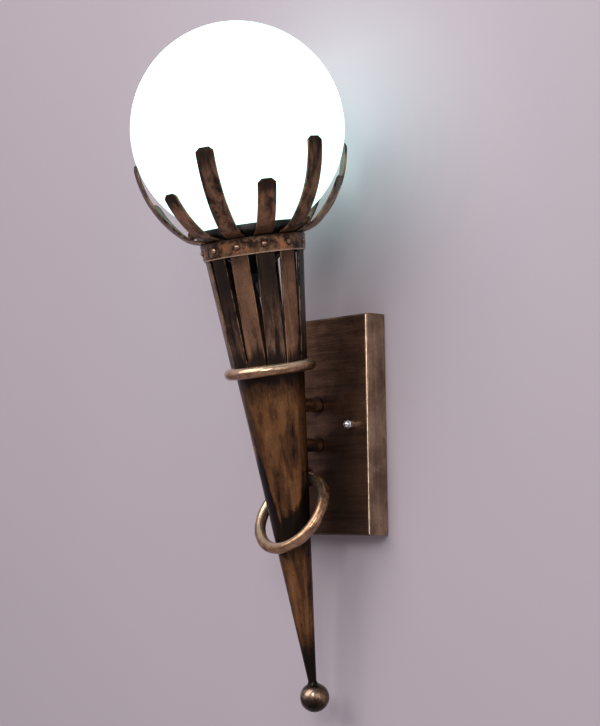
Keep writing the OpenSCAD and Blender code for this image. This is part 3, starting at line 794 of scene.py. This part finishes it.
bow_turns = [radians(90 - 7.5 * k) for k in range(25)]
bow = [ring_pivot + staple_bow * Vector((0, cos(a), sin(a))) for a in bow_turns]
top_foot, low_foot = (Vector((0, cone_radius(end.z) - 0.0008, end.z)) for end in (bow[0], bow[-1]))
staple_path = [top_foot.lerp(bow[0], k / leg_steps) for k in range(leg_steps)] + bow
staple_path += [bow[-1].lerp(low_foot, k / leg_steps) for k in range(1, leg_steps + 1)]
staple_mesh = tube("ring_staple", staple_path, staple_rod, TORCH, shape=staple_bump)
dress("welded_staple", staple_mesh, arm_bronze, "cone_bronze", "ring_staple")

# ------------------------
# Hanging ring: the same rod, welded to a ring through the staple. It leans on the front
# of the cone and swings up on the staple.
hanging_low, hanging_high = upright("hanging_ring")
ring_points = upright_points("hanging_ring")
ring_r = (hanging_high.x - hanging_low.x) / 2 - rod_r
to_pivot = ring_pivot - sum(ring_points, Vector()) / len(ring_points)
ring_slant = atan2(to_pivot.z, to_pivot.y)
ring_middle = ring_pivot - ring_r * Vector((0, cos(ring_slant), sin(ring_slant)))
ring_at = TORCH @ Matrix.Translation(ring_middle) @ Matrix.Rotation(ring_slant, 4, "X")
# The hanging ring carries a painted highlight along the rod's upper inner side.
hanging_bronze = ring_finish(
    "hanging_ring_copper_painted_highlight", TORCH @ ring_middle, torch_lean + ring_slant, ring_r, 1.0
)
hanging_mesh = rod_ring("hanging_ring", ring_r, ring_at, 11.0)
dress(
    "welded_hanging_ring", hanging_mesh, hanging_bronze, "rubbed_copper", "hanging_ring", body="ring"
)

# ------------------------
# Strips: twelve flat steel bars, welded to the cone's lip, bent out over the band and
# curved up round the globe as fingers, long and short in turn. Their ends are clipped.
globe_low, globe_high = upright("globe")
globe_r = globe_high.x
globe_h = globe_high.z - globe_r
band_low, band_high = upright("hoop_band")
front_low, front_high = upright("strap_12")
side_low = upright("strap_3")[0]
strip_count = 12
strip_w = front_high.x - front_low.x
strip_t = 0.0016
strip_foot = Vector((side_low.x + strip_t / 2, side_low.z))
run_slope = radians(15.2)
finger_r = globe_r + 0.0001 - strip_t / 2
finger_middle = Vector((0.0009, globe_h - 0.0135))
long_tip, short_tip = radians(3.1), radians(23.2)
tip_clip = 0.0026
strip_lean = radians(5.87)
bend_h = band_high.z + strip_t / 2 + 0.0002
bend_at = Vector((strip_foot.x + (bend_h - strip_foot.y) * tan(strip_lean), bend_h))


def rounded(corners, steps=4):
    """An outline whose corners are rounded. A corner is (radius, height, rounding)."""
    line = []
    for i, (r, h, bend) in enumerate(corners):
        here = Vector((r, h))
        if not bend:
            line.append(here)
            continue
        before = (Vector(corners[i - 1][:2]) - here).normalized()
        after = (Vector(corners[(i + 1) % len(corners)][:2]) - here).normalized()
        half = before.angle(after) / 2
        centre = here + (before + after).normalized() * bend / sin(half)
        start = here + before * bend / tan(half) - centre
        end = here + after * bend / tan(half) - centre
        for k in range(steps + 1):
            line.append(centre + start.lerp(end, k / steps).normalized() * bend)
    return line


def curve_round(start, corner, end, t):
    """A point on the soft curve that cuts a corner off."""
    return start.lerp(corner, t).lerp(corner.lerp(end, t), t)


def strip_path(tip_angle):
    """The strip's middle line in (radius, height): up the basket, out, and up the finger."""
    run = Vector((cos(run_slope), sin(run_slope)))
    start = bend_at - finger_middle
    along = start.dot(run)
    meet = bend_at + (sqrt(along ** 2 - start.length_squared + finger_r ** 2) - along) * run
    meet_angle = atan2(finger_middle.y - meet.y, meet.x - finger_middle.x)
    finger_start = meet_angle - 0.06

    def on_finger(angle):
        return finger_middle + finger_r * Vector((cos(angle), -sin(angle)))

    bend = rounded([(*strip_foot, 0), (*bend_at, 0.0018), (*meet, 0)], 8)[1:-1]
    basket = [strip_foot.lerp(bend[0], k / 40) for k in range(40)]
    before, after = meet - run * 0.004, on_finger(finger_start)
    foot = [curve_round(before, meet, after, k / 8) for k in range(9)]
    finger = [on_finger(finger_start + (tip_angle - finger_start) * k / 46) for k in range(1, 47)]
    return basket + bend + foot + finger


def strip_section(half_w, half_t, bend=0.00042, columns=6):
    """Points round a flat bar's section, as (across, through), with rounded corners."""
    points = []
    for side_a, side_t, first in ((1, 1, 0), (-1, 1, 90), (-1, -1, 180), (1, -1, 270)):
        across, through = side_a * (half_w - bend), side_t * (half_t - bend)
        for a in (radians(first + 30 * k) for k in range(4)):
            points.append((across + bend * cos(a), through + bend * sin(a)))
        if side_a == side_t:
            step = side_a * 2 * (half_w - bend) / columns
            points += [(across - step * k, side_t * half_t) for k in range(1, columns)]
    return points


def strip_blank(bm, tip_angle, kind, layers):
    """One bent strip drawn along +X, with its place across and its distance from the tip."""
    path = strip_path(tip_angle)
    tip, clipped = path[-1], [p for p in path if (p - path[-1]).length > tip_clip]
    path = clipped + [tip + (clipped[-1] - tip).normalized() * tip_clip, tip]
    left = [0.0]
    for a, b in zip(path[:0:-1], path[-2::-1]):
        left.insert(0, left[0] + (a - b).length)
    rings = []
    for i, point in enumerate(path):
        ahead = (path[min(i + 1, len(path) - 1)] - path[max(i - 1, 0)]).normalized()
        inward = Vector((-ahead.y, ahead.x))
        cut = max(0.0, tip_clip - left[i])
        thin = 0.00025 if left[i] < 0.00002 else 0.0
        ring = []
        for across, through in strip_section(strip_w / 2 - cut - thin, strip_t / 2 - thin):
            r, h = point + inward * through
            vert = bm.verts.new((r, across, h))
            vert[layers[0]] = Vector((across / strip_w + 0.5, left[i], through / strip_t))
            vert[layers[1]] = kind
            ring.append(vert)
        rings.append(ring)
    skin(bm, rings)
    bm.faces.new(rings[0])
    bm.faces.new(rings[-1])


blank = bmesh.new()
layers = (blank.verts.layers.float_vector.new("on_strip"), blank.verts.layers.float.new("short"))
strip_blank(blank, long_tip, 0.0, layers)
strip_blank(blank, short_tip, 1.0, layers)
bmesh.ops.recalc_face_normals(blank, faces=blank.faces)
blank_mesh = bpy.data.meshes.new("strip_blanks")
blank.to_mesh(blank_mesh)
blank.free()
blank_mesh.shade_smooth()
blank_mesh.set_sharp_from_angle(angle=radians(50))


def node_tree_with(name, **inputs):
    """A geometry tree with named inputs; gives the tree and its inputs as Values."""
    tree = bpy.data.node_groups.new(name, "GeometryNodeTree")
    for way in ("INPUT", "OUTPUT"):
        tree.interface.new_socket("Geometry", in_out=way, socket_type="NodeSocketGeometry")
    for label, kind in inputs.items():
        tree.interface.new_socket(label, in_out="INPUT", socket_type="NodeSocket" + kind)
    sockets = put(tree, "NodeGroupInput").outputs
    return tree, {label: Value(tree, sockets[label]) for label in ("Geometry", *inputs)}


def random_between(tree, low, high, seed):
    limits = {2: low, 3: high, 8: seed}
    return give(tree, "FunctionNodeRandomValue", limits, 1, data_type="FLOAT")


def deal_out(tree, count, play, seed):
    """Points on the axis, each turned to its share of a full turn, ready for a blank."""
    points = give(tree, "GeometryNodePoints", {"Count": count})
    number = give(tree, "GeometryNodeInputIndex")
    wobble = random_between(tree, play * -1.0, play, seed)
    angle = number * (2 * pi / count) - pi / 2 + wobble
    return points, number, give(tree, "ShaderNodeCombineXYZ", {2: angle})


def set_out(tree, points, blank, turn, which=True):
    """A blank at each chosen point, turned round the axis."""
    return give(tree, "GeometryNodeInstanceOnPoints", {
        "Points": points, "Selection": which, "Instance": blank, "Rotation": turn
    })


def hand_over(tree, instances, finish):
    """Ends a tree: real geometry with its material."""
    real = give(tree, "GeometryNodeRealizeInstances", {0: instances})
    done = give(tree, "GeometryNodeSetMaterial", {"Geometry": real, "Material": finish})
    put(tree, "NodeGroupOutput", {0: done})


def grown(tree, mesh, values):
    """Runs a tree on a mesh with its inputs set by socket, and gives back a plain mesh."""
    host = bpy.data.objects.new("host", mesh)
    scene.collection.objects.link(host)
    modifier = host.modifiers.new("grow", "NODES")
    modifier.node_group = tree
    for item in tree.interface.items_tree:
        if item.in_out == "INPUT" and item.name in values:
            modifier[item.identifier] = values[item.name]
    bpy.context.view_layer.update()
    depsgraph = bpy.context.evaluated_depsgraph_get()
    result = bpy.data.meshes.new_from_object(
        host.evaluated_get(depsgraph), preserve_all_data_layers=True, depsgraph=depsgraph
    )
    bpy.data.objects.remove(host)
    result.transform(TORCH)
    return result


tree, given = node_tree_with(
    "strips_round_the_torch", Strips="Int", Play="Float", Seed="Int", Finish="Material"
)
points, number, turn = deal_out(tree, given["Strips"], given["Play"], given["Seed"])
is_short = give(tree, "GeometryNodeInputNamedAttribute", {"Name": "short"}, data_type="FLOAT")
blanks = put(tree, "GeometryNodeSeparateGeometry", {0: given["Geometry"], 1: is_short > 0.5})
together = put(tree, "GeometryNodeJoinGeometry")
dealt = [
    set_out(tree, points, Value(tree, part), turn, calc("COMPARE", number % 2.0, which, 0.1))
    for which, part in zip((0.0, 1.0), blanks.outputs)
]
for part in dealt:
    tree.links.new(part.socket, together.inputs[0])
toned = give(tree, "GeometryNodeStoreNamedAttribute", {
    "Geometry": Value(tree, together.outputs[0]), "Name": "tone",
    "Value": random_between(tree, 0.0, 1.0, given["Seed"] + 5.0)
}, data_type="FLOAT", domain="INSTANCE")
hand_over(tree, toned, given["Finish"])


def stored(place, name, output="Fac"):
    """What the strips' points carry: their tone, whether they are short, and their place."""
    return give(place.tree, "ShaderNodeAttribute", output=output, attribute_name=name)


def strip_tone(place):
    """The long strips took more bronze in the basket, and the short ones on their fingers."""
    short = stored(place, "short")
    by_length = give(place.tree, "ShaderNodeMix", {
        0: ease(place.xyz()[2], bend_h - 0.004, bend_h + 0.01),
        2: ease(short, 0.0, 1.0, 0.065, -0.045), 3: ease(short, 0.0, 1.0, -0.015, 0.07)
    })
    return by_length + ease(stored(place, "tone"), 0.0, 1.0, -0.02, 0.02)


def strip_dark(place, blotch, smears):
    """Black at the fingers' tips and in the bend, the inner faces darker, black at the foot by the
    collar as patina with a painted contact shadow, and painted shade under the band.
    """
    across, left, through = stored(place, "on_strip", "Vector").xyz()
    h = place.xyz()[2]
    ragged = (smears - 0.5) * 0.03
    tip = ease(left + ragged, 0.004, 0.02, 0.85, 0.0)
    # patina at the foot, with a painted contact shadow by the collar
    foot = ease(h + ragged, collar_h + 0.008, collar_h + 0.02, 0.9, 0.0)
    bend = ease(abs(h - (bend_h - 0.014)), 0.002, 0.012, 0.6, 0.0)
    inner = ease(through, 0.1, 0.45, 0.0, 0.5)
    # painted shade under the band, deepest on the short strips
    painted_shade_under_band = ease(h + ragged, band_low.z - 0.066, band_low.z - 0.016, 0.0, 0.93)
    in_basket = ease(h, band_high.z, bend_h, 1.0, 0.0)
    by_length = ease(stored(place, "short"), 0.0, 1.0, 0.12, 1.0)
    return most(tip, foot, bend, inner, painted_shade_under_band * in_basket * by_length)


def strip_worn(place, blotch, scratch):
    """The outer arrises rub bright in places."""
    across, left, through = stored(place, "on_strip", "Vector").xyz()
    side = ease(abs(across - 0.5), 0.462, 0.492)
    outer = ease(through, -0.5, 0.3, 1.0, 0.0)
    patchy = ease(blotch + scratch * 0.5, 0.68, 0.86)
    return side * outer * patchy * 0.4


strip_bronze = rubbed_metal(
    "strip_rubbed_bronze", torch_place, (190, 190, 22),
    ((30, 24, 20), (82, 62, 48), (122, 92, 70), (154, 114, 84), (222, 186, 150)),
    stops=(0.36, 0.45, 0.53, 0.66), mottle=75.0, weights=(0.5, 0.18, 0.32), dark=strip_dark,
    worn=strip_worn, shine=(0.34, 0.5), tone=strip_tone
)
strip_mesh = grown(tree, blank_mesh, {
    "Strips": strip_count, "Play": radians(0.35), "Seed": 4, "Finish": strip_bronze
})
straps = [f"strap_{i}" for i in range(1, strip_count + 1)]
dress("bent_strips", strip_mesh, strip_bronze, "strip_bronze", *straps)

# ------------------------
# Hoop band: a thin strap of copper-washed steel round all the strips, lightly hammered.
# Its lower edge is rubbed bright. Black has gathered along the upper edge and round the
# rivets.
band_wall = 0.0012
band_h = band_high.z - band_low.z
band_rise = band_h * tan(strip_lean)
band_foot_r = band_high.x - band_rise
rivet_h = (band_low.z + band_high.z) / 2
rivet_head_r = 0.0021
band_line = rounded([
    (band_foot_r - band_wall, band_low.z, 0.0003),
    (band_foot_r, band_low.z, 0.0005),
    *[(band_foot_r + band_rise * part, band_low.z + band_h * part, 0) for part in (0.33, 0.66)],
    (band_high.x, band_high.z, 0.0005),
    (band_high.x - band_wall, band_high.z, 0.0003),
])


def hammered_band(point):
    """Moves a point of the band in or out a little."""
    return pushed(point, lump_at(point, 0.0045, 2) * 0.00016)


def band_dark(place, blotch, smears):
    """Black along the upper edge, in patches, and round each rivet."""
    x, y, h = place.xyz()
    level = h + (blotch - 0.5) * 0.02
    top = ease(level, band_high.z - 0.0035, band_high.z - 0.0008, 0.0, 0.9)
    patches = ease(blotch, 0.38, 0.5, 0.85, 0.0)
    beside = calc("PINGPONG", bearing_of(x, y), pi / strip_count) * band_high.x
    from_rivet = distance(beside, h - rivet_h)
    round_rivets = ease(from_rivet, rivet_head_r + 0.0001, rivet_head_r + 0.0009, 0.9, 0.0)
    return most(top, patches, round_rivets)


def band_worn(place, blotch, scratch):
    """The lower edge, rubbed bright."""
    edge = ease(place.xyz()[2], band_low.z + 0.0004, band_low.z + 0.0012, 1.0, 0.0)
    return edge * ease(scratch, 0.35, 0.55, 0.25, 0.75)


band_copper = rubbed_metal(
    "band_hammered_copper", torch_place, (150, 150, 120),
    ((30, 22, 17), (96, 70, 51), (132, 101, 74), (176, 112, 72), (236, 204, 170)),
    stops=(0.36, 0.44, 0.53, 0.61), mottle=100.0, dark=band_dark, worn=band_worn,
    shine=(0.3, 0.46), dent=0.00025
)
spin(
    "hammered_band", band_line, band_copper, "band_copper", "hoop_band",
    ends_meet=True, sides=192, shape=hammered_band
)

# ------------------------
# Band rivets: one copper rivet through the band and each strip. The heads are set by
# hand, so no two stand at quite the same spacing.
rivet_tip_r = upright("band_rivets")[1].x
rivet_head_out, rivet_shank_r, rivet_tail_r = 0.0013, 0.0012, 0.0018
rivet_long = 0.0058


def rivet_blank():
    """A round-headed rivet along +X, its head's crown at the origin."""
    cap_r = (rivet_head_r ** 2 + rivet_head_out ** 2) / (2 * rivet_head_out)
    edge = acos((cap_r - rivet_head_out) / cap_r)
    under_head, over_tail = -rivet_head_out - 0.0002, -rivet_long + 0.0008
    line = arc(0, -cap_r, cap_r, 90, 90 - degrees(edge), 7) + [
        (rivet_head_r - 0.0001, under_head), (rivet_shank_r, under_head),
        (rivet_shank_r, over_tail), (rivet_tail_r, over_tail),
        (rivet_tail_r - 0.0003, -rivet_long), (0, -rivet_long)
    ]
    return turned("rivet", line, Matrix.Rotation(pi / 2 + strip_lean, 4, "Y"), sides=24)


tree, given = node_tree_with(
    "rivets_round_the_band",
    Rivets="Int", Radius="Float", Height="Float", Play="Float", Seed="Int", Finish="Material"
)
points, number, turn = deal_out(tree, given["Rivets"], given["Play"], given["Seed"])
outward = give(tree, "ShaderNodeCombineXYZ", {0: given["Radius"], 2: given["Height"]})
on_band = {"Geometry": given["Geometry"], "Translation": outward}
moved = give(tree, "GeometryNodeTransform", on_band)
hand_over(tree, set_out(tree, points, moved, turn), given["Finish"])


def rivet_dark(place, blotch, smears):
    """Black lies in the corner round each head."""
    x, y, h = place.xyz()
    proud = distance(x, y) - (h - rivet_h) * tan(strip_lean)
    return ease(proud, rivet_tip_r - 0.0012, rivet_tip_r - 0.0006, 0.95, 0.0)


rivet_copper = rubbed_metal(
    "rivet_rubbed_copper", torch_place, (400, 400, 400),
    ((44, 34, 28), (132, 104, 84), (174, 142, 118), (196, 162, 136), cream_rub_and_highlight),
    mottle=320.0, dark=rivet_dark, shine=(0.26, 0.4), dent=0.00006, sparkle=0.2
)
rivet_mesh = grown(tree, rivet_blank(), {
    "Rivets": strip_count, "Radius": rivet_tip_r, "Height": rivet_h, "Play": radians(0.3),
    "Seed": 2, "Finish": rivet_copper
})
dress("hand_set_rivets", rivet_mesh, rivet_copper, "rubbed_copper", "band_rivets")

# ------------------------
# Gallery cup: a spun steel cup, painted black, that carries the globe's neck. It sits in
# the bends of the strips, and its rim is drilled for the three screws.
cup_low, cup_high = upright("gallery_cup")
body_low, body_high = upright("holder_body")
flange_out = 0.0025
barrel_r = body_high.x - flange_out
cup_r, cup_wall = cup_high.x, 0.0012
cup_floor_r, cup_slope = 0.0284, radians(29.6)
cup_hole_r = barrel_r + 0.0003
cup_rim_low = cup_low.z + (cup_r - cup_floor_r) * tan(cup_slope)
cup_up = cup_wall / cos(cup_slope)
cup_line = rounded([
    (cup_hole_r, cup_low.z, 0),
    (cup_floor_r, cup_low.z, 0.0014),
    (cup_r, cup_rim_low, 0.0014),
    (cup_r, cup_high.z, 0.0005),
    (cup_r - cup_wall, cup_high.z, 0.0005),
    (cup_r - cup_wall, cup_rim_low + cup_up - cup_wall * tan(cup_slope), 0.0006),
    (cup_floor_r - (cup_up - cup_wall) / tan(cup_slope), cup_low.z + cup_wall, 0.0006),
    (cup_hole_r, cup_low.z + cup_wall, 0),
])


def painted(name, colour, shade, roughness, orange_peel=700.0, depth=0.00004):
    """Sprayed paint: slightly uneven in tone, with a fine orange-peel surface."""
    made, tree = fresh_material(name)
    cloudy = cloud(row_place(tree), [60] * 3, 4.0, 0.6)
    surface(tree, {
        "Base Color": two_tones(cloudy, shade, colour),
        "Roughness": ease(cloudy, 0.3, 0.7, roughness * 0.8, roughness * 1.2)
    }, cloud(row_place(tree), [orange_peel] * 3, 2.0, 0.5), 0.4, depth)
    return made


black_paint = painted("black_gallery_paint", (24, 21, 20), (14, 12, 12), 0.42)
spin(
    "spun_gallery_cup", cup_line, black_paint, "black_paint", "gallery_cup",
    ends_meet=True, sides=128
)

# ------------------------
# Lampholder: a moulded black body, ribbed for the hand below the cup and threaded above
# it, clamped by a ribbed shade ring. A threaded brass shell and a spring contact sit in it.
shell_low, shell_high = upright("holder_shell")
thread_pitch = 0.0036
holder_black = painted("holder_black_moulding", (30, 28, 28), (18, 17, 17), 0.3, 300.0, 0.00002)


def grooved(low, high, depth, run_out, phase, other=None):
    """Grooves between two heights, which run out at both ends. phase says where they lie."""
    def shape(point):
        point = other(point) if other else point
        if not low < point.z < high:
            return point
        fade = min(1.0, (point.z - low) / run_out, (high - point.z) / run_out)
        return pushed(point, -depth * fade * (0.5 - 0.5 * cos(phase(point))))
    return shape


def fluted(count, low, high, depth):
    """Ribs down the side between two heights."""
    return grooved(low, high, depth, 0.001, lambda p: count * atan2(p.x, p.y))


def threaded(low, high, pitch, depth, other=None):
    """A rolled round thread between two heights, cut inwards."""
    def phase(point):
        return 2 * pi * point.z / pitch - atan2(point.x, -point.y)
    return grooved(low, high, depth, pitch, phase, other)


def rows(r, low, high, count):
    """Close points up a straight side, for a thread or ribs to be cut in."""
    return [(r, low + (high - low) * k / count) for k in range(count + 1)]


entry_r, dome_low = 0.005, body_low.z + 0.0175 / 3
dome_top = cup_low.z - 0.011
shoulder_low, shoulder_top = cup_low.z - 0.00305, cup_low.z - 0.00005
bore_r = shell_high.x + 0.00005
lead_way_r = 0.0028
body_line = rounded([
    (lead_way_r, body_low.z, 0),
    (entry_r, body_low.z, 0.0008),
    (entry_r, dome_low, 0.0012),
    (barrel_r - 0.01, dome_low + 0.003, 0.004),
    (barrel_r - 0.0035, dome_top - 0.0035, 0.004),
    (barrel_r, dome_top, 0),
])
body_line += rows(barrel_r, dome_top + 0.001, shoulder_low - 0.0003, 8)
body_line += rounded([
    (barrel_r, shoulder_low, 0),
    (barrel_r + flange_out, shoulder_low, 0.0006),
    (barrel_r + flange_out, shoulder_top, 0.0004),
    (barrel_r, shoulder_top, 0),
])
body_line += rows(barrel_r, shoulder_top + 0.0003, body_high.z - 0.0008, 84) + [
    (barrel_r - 0.0008, body_high.z), (bore_r, body_high.z),
    (bore_r, shell_low.z - 0.004), (lead_way_r, shell_low.z - 0.004)
]
hand_ribs = fluted(36, dome_top + 0.0002, shoulder_low - 0.0002, 0.0005)
body_shape = threaded(shoulder_top + 0.0055, body_high.z - 0.0015, 0.003, 0.0007, hand_ribs)
spin(
    "ribbed_holder_body", body_line, holder_black, "holder_black", "holder_body",
    ends_meet=True, sides=144, shape=body_shape
)

nut_bottom, nut_top = upright("shade_ring")
nut_chamfer = 0.0006
nut_line = [
    (barrel_r + 0.0003, nut_bottom.z), (nut_top.x - nut_chamfer, nut_bottom.z),
    *rows(nut_top.x, nut_bottom.z + nut_chamfer, nut_top.z - nut_chamfer, 6),
    (nut_top.x - nut_chamfer, nut_top.z), (barrel_r + 0.0003, nut_top.z)
]
nut_ribs = fluted(24, nut_bottom.z - 0.001, nut_top.z + 0.001, 0.0008)
spin(
    "ribbed_shade_ring", nut_line, holder_black, "holder_black", "shade_ring",
    ends_meet=True, sides=144, shape=nut_ribs
)

shell_wall = 0.00035
shell_line = rows(shell_high.x, shell_low.z, shell_high.z, 90)
shell_line += [(r - shell_wall, h) for r, h in reversed(shell_line)]
shell_thread = threaded(shell_low.z, shell_high.z, thread_pitch, 0.00025)
spin(
    "threaded_brass_shell", shell_line, turned_brass, "brass", "holder_shell",
    ends_meet=True, shape=shell_thread
)

porcelain = painted("glazed_porcelain", (236, 232, 220), (222, 216, 202), 0.22, 200.0, 0.00001)
refinish(porcelain, "holder_insert")

contact_low, contact_high = upright("centre_contact")
contact_line = [(0, contact_low.z), *rounded([
    (contact_high.x, contact_low.z, 0), (contact_high.x, contact_low.z + 0.0005, 0.0002),
    (0.0018, contact_high.z, 0)
]), (0, contact_high.z)]
spin("sprung_contact", contact_line, turned_brass, "brass", "centre_contact", sides=48)

# ------------------------
# Bulb: an opal-coated glass lamp on a rolled metal cap, with a dark glass insulator and a
# soldered contact under it. It is lit.
cap_low, cap_high = upright("bulb_cap")
glass_low, glass_high = upright("bulb_glass")
bulb_r = glass_high.x
bulb_mid = glass_high.z - bulb_r
cap_r = cap_high.x
cap_thread_low = cap_low.z + 0.0076
cap_line = [
    (0, cap_low.z), (0.0035, cap_low.z), (0.0045, cap_low.z + 0.0006),
    (0.0048, cap_low.z + 0.0024), (0.0055, cap_low.z + 0.0026),
    (cap_r - 0.0022, cap_low.z + 0.0049), (cap_r - 0.0018, cap_low.z + 0.0055),
    *rows(cap_r, cap_thread_low, cap_high.z - 0.0002, 70),
    (cap_r - 0.0006, cap_high.z), (0, cap_high.z)
]

cap_finish, tree = fresh_material("bulb_cap_metal")
place = torch_place(tree)
h = place.xyz()[2]
mottle = cloud(place, [220] * 3, 3.0, 0.5)
plating = two_tones(mottle, (176, 176, 172), (208, 208, 204))
from_contact = ease(h, cap_low.z + 0.0024, cap_low.z + 0.0026)
dark_glass = from_contact * ease(h, cap_low.z + 0.0052, cap_low.z + 0.0056, 1.0, 0.0)
cap_shader = give(tree, "ShaderNodeBsdfPrincipled", {
    "Base Color": lay_over(dark_glass, plating, paint(22, 22, 26)),
    "Metallic": 1.0 - dark_glass, "Roughness": ease(mottle, 0.3, 0.7, 0.22, 0.34)
})
put(tree, "ShaderNodeOutputMaterial", {0: cap_shader})
cap_thread = threaded(cap_thread_low, cap_high.z - 0.003, thread_pitch, 0.0009)
spin(
    "threaded_bulb_cap", cap_line, cap_finish, "plated_steel", "bulb_cap", "bulb", shape=cap_thread
)


def lit_opal(name, colour, shade, glow, strength, low, high, roughness=0.16):
    """Lit opal glass: a glossy face over white glass that glows, dimmer at its foot."""
    made, tree = fresh_material(name)
    place = torch_place(tree)
    depth = place.xyz()[2] + (cloud(place, [14] * 3, 3.0, 0.5) - 0.5) * 0.012
    surface(tree, {
        "Base Color": lay_over(ease(depth, low, high), paint(*shade), paint(*colour)),
        "Roughness": roughness, "Emission Color": paint(*glow),
        "Emission Strength": ease(depth, low, high, strength * 0.85, strength)
    }, cloud(place, [35] * 3, 2.0, 0.4), 0.15, 0.0004)
    return made


neck_tilt = -40
neck_end = arc(0, bulb_mid, bulb_r, neck_tilt, 90, 1)[0]
neck_start = Vector((cap_r - 0.0004, glass_low.z))
neck_pull = 0.012
towards_end = Vector((sin(radians(-neck_tilt)), cos(radians(neck_tilt))))
neck_curve = interpolate_bezier(
    neck_start, neck_start + Vector((0, neck_pull)), neck_end - towards_end * neck_pull, neck_end, 17
)
bulb_line = [(0, glass_low.z), *neck_curve[:-1], *arc(0, bulb_mid, bulb_r, neck_tilt, 90, 34)]
bulb_opal = lit_opal(
    "lit_bulb_opal", (255, 252, 244), (246, 240, 226), (255, 252, 244), 1.1,
    glass_low.z, bulb_mid, 0.3
)
spin("opal_bulb", bulb_line, bulb_opal, "bulb_opal", "bulb_glass", "bulb")

# ------------------------
# Globe: a blown opal ball with a short open neck, which stands in the cup. The lamp in it
# is lit, so the whole ball glows a cool white.
glass_t = 0.0025
neck_r = 0.0368
neck_foot = globe_low.z
lip_round = 0.0008


def globe_side(radius, neck, bend=0.0022):
    """From the pole, down the round of the ball, in to the neck and down to its foot."""
    angle = acos(neck / radius)
    joint = Vector((neck, globe_h - radius * sin(angle)))
    down = arc(0, globe_h, radius, 90, degrees(bend / radius - angle), 60)
    under = joint - Vector((0, bend))
    curve = [curve_round(down[-1], joint, under, k / 6) for k in range(1, 7)]
    return [(0, globe_h + radius)] + down[1:] + curve + [(neck, neck_foot + lip_round)]


outside = globe_side(globe_r, neck_r)
inside = globe_side(globe_r - glass_t, neck_r - glass_t)
lip = [(neck_r - lip_round, neck_foot), (neck_r - glass_t + lip_round, neck_foot)]
opal_glass = lit_opal(
    "lit_opal_glass", (246, 252, 252), (232, 244, 246), (204, 255, 243), 1.65,
    neck_foot, globe_h - 0.03
)
globe_line = outside + lip + inside[::-1]
spin("opal_globe", globe_line, opal_glass, "opal_glass", "globe", "globe", sides=144)

# ------------------------
# Gallery screws: three brass thumb screws with knurled heads, through the cup's rim.
# Their finish was darkened with the rest.
screw_brass = rubbed_metal(
    "screw_darkened_brass", row_place, (300, 300, 300),
    ((30, 24, 19), (66, 50, 36), (96, 74, 50), (128, 98, 62), (220, 190, 140)),
    mottle=260.0, shine=(0.26, 0.42), dent=0.00005
)
screw_shank_r, screw_head_r, screw_head_long = 0.00125, 0.003, 0.004
screw_chamfer = 0.0004
screw_pitch = 0.0005


def gallery_screw(node, name, body):
    """A screw turned from its tip to its knurled head, and laid through the rim."""
    low, high = upright(node)
    middle = (low + high) / 2
    angle = atan2(middle.x, -middle.y)
    outward = Vector((sin(angle), -cos(angle), 0))
    reach = [p.dot(outward) for p in upright_points(node)]
    start, end = min(reach), max(reach)
    head = end - screw_head_long
    line = [
        (0, start), (screw_shank_r - screw_chamfer, start), (screw_shank_r, start + screw_chamfer),
        *rows(screw_shank_r, start + 0.0006, head - 0.0002, 60),
        (screw_shank_r, head), (screw_head_r - screw_chamfer, head),
        *rows(screw_head_r, head + screw_chamfer, end - screw_chamfer, 6),
        (screw_head_r - screw_chamfer, end), (0.0016, end), (0.0014, end - 0.0003), (0, end - 0.0003)
    ]
    knurl = fluted(18, head + 0.0002, end - 0.0002, 0.00035)
    shape = threaded(start, head - 0.0002, screw_pitch, 0.00018, knurl)
    turn = Matrix.Rotation(angle - pi / 2, 4, "Z") @ Matrix.Rotation(pi / 2, 4, "Y")
    place = TORCH @ Matrix.Translation((0, 0, middle.z)) @ turn
    mesh = turned(name, line, place, sides=72, shape=shape)
    dress(name, mesh, screw_brass, "brass", node, body=body)


for number, letter in enumerate("abc", 1):
    gallery_screw(f"gallery_screw_{number}", f"knurled_screw_{letter}", f"gallery_screw_{letter}")

# ------------------------
# Lamp lead: a round two-core lead from the lampholder, down behind the rear strip,
# through the cone and the upper arm, to the terminals inside the plate.
lead_r = 0.0021
in_cone = [
    (0, 0.304), (0, 0.295), (0.003, 0.286), (0.012, 0.276), (0.019, 0.266), (0.02, 0.254),
    (0.018, 0.242), (0.015, 0.23), (0.0125, 0.221)
]
in_plate = [
    (0, -0.0475, 0.019), (0, -0.041, 0.0153), (0, -0.034, 0.015), (0, -0.022, 0.015),
    (0, -0.012, 0.015), (0.003, -0.0075, 0.0135), (0.009, -0.006, 0.008),
    (0.014, -0.006, -0.004), (0.014, -0.008, -0.02), (0.011, -0.0105, -0.028),
    (0.01, -0.012, -0.034), (0.01, -0.012, -0.0378)
]
lead_points = [TORCH @ Vector((0, back, h)) for back, h in in_cone] + [Vector(p) for p in in_plate]


def smooth_route(points, steps):
    """A smooth curve through the points, which keeps to the line between their neighbours."""
    ends_twice = [points[0], *points, points[-1]]
    route = []
    for a, b, c, d in zip(ends_twice, points, points[1:], ends_twice[3:]):
        route += interpolate_bezier(b, b + (c - a) / 6, c - (d - b) / 6, c, steps + 1)[:-1]
    return route + [points[-1]]


lead_sheath = painted("lead_grey_sheath", (96, 94, 92), (78, 76, 75), 0.45, 500.0, 0.00003)
lead_mesh = tube("lamp_lead", smooth_route(lead_points, 5), lead_r, Matrix.Identity(4), 18)
dress("lamp_lead_sheath", lead_mesh, lead_sheath, "lead_sheath", "lamp_lead")

# ------------------------
# Terminal block: a glazed block inside the plate, drilled for the wires and the screws.
refinish(porcelain, "terminal_block")
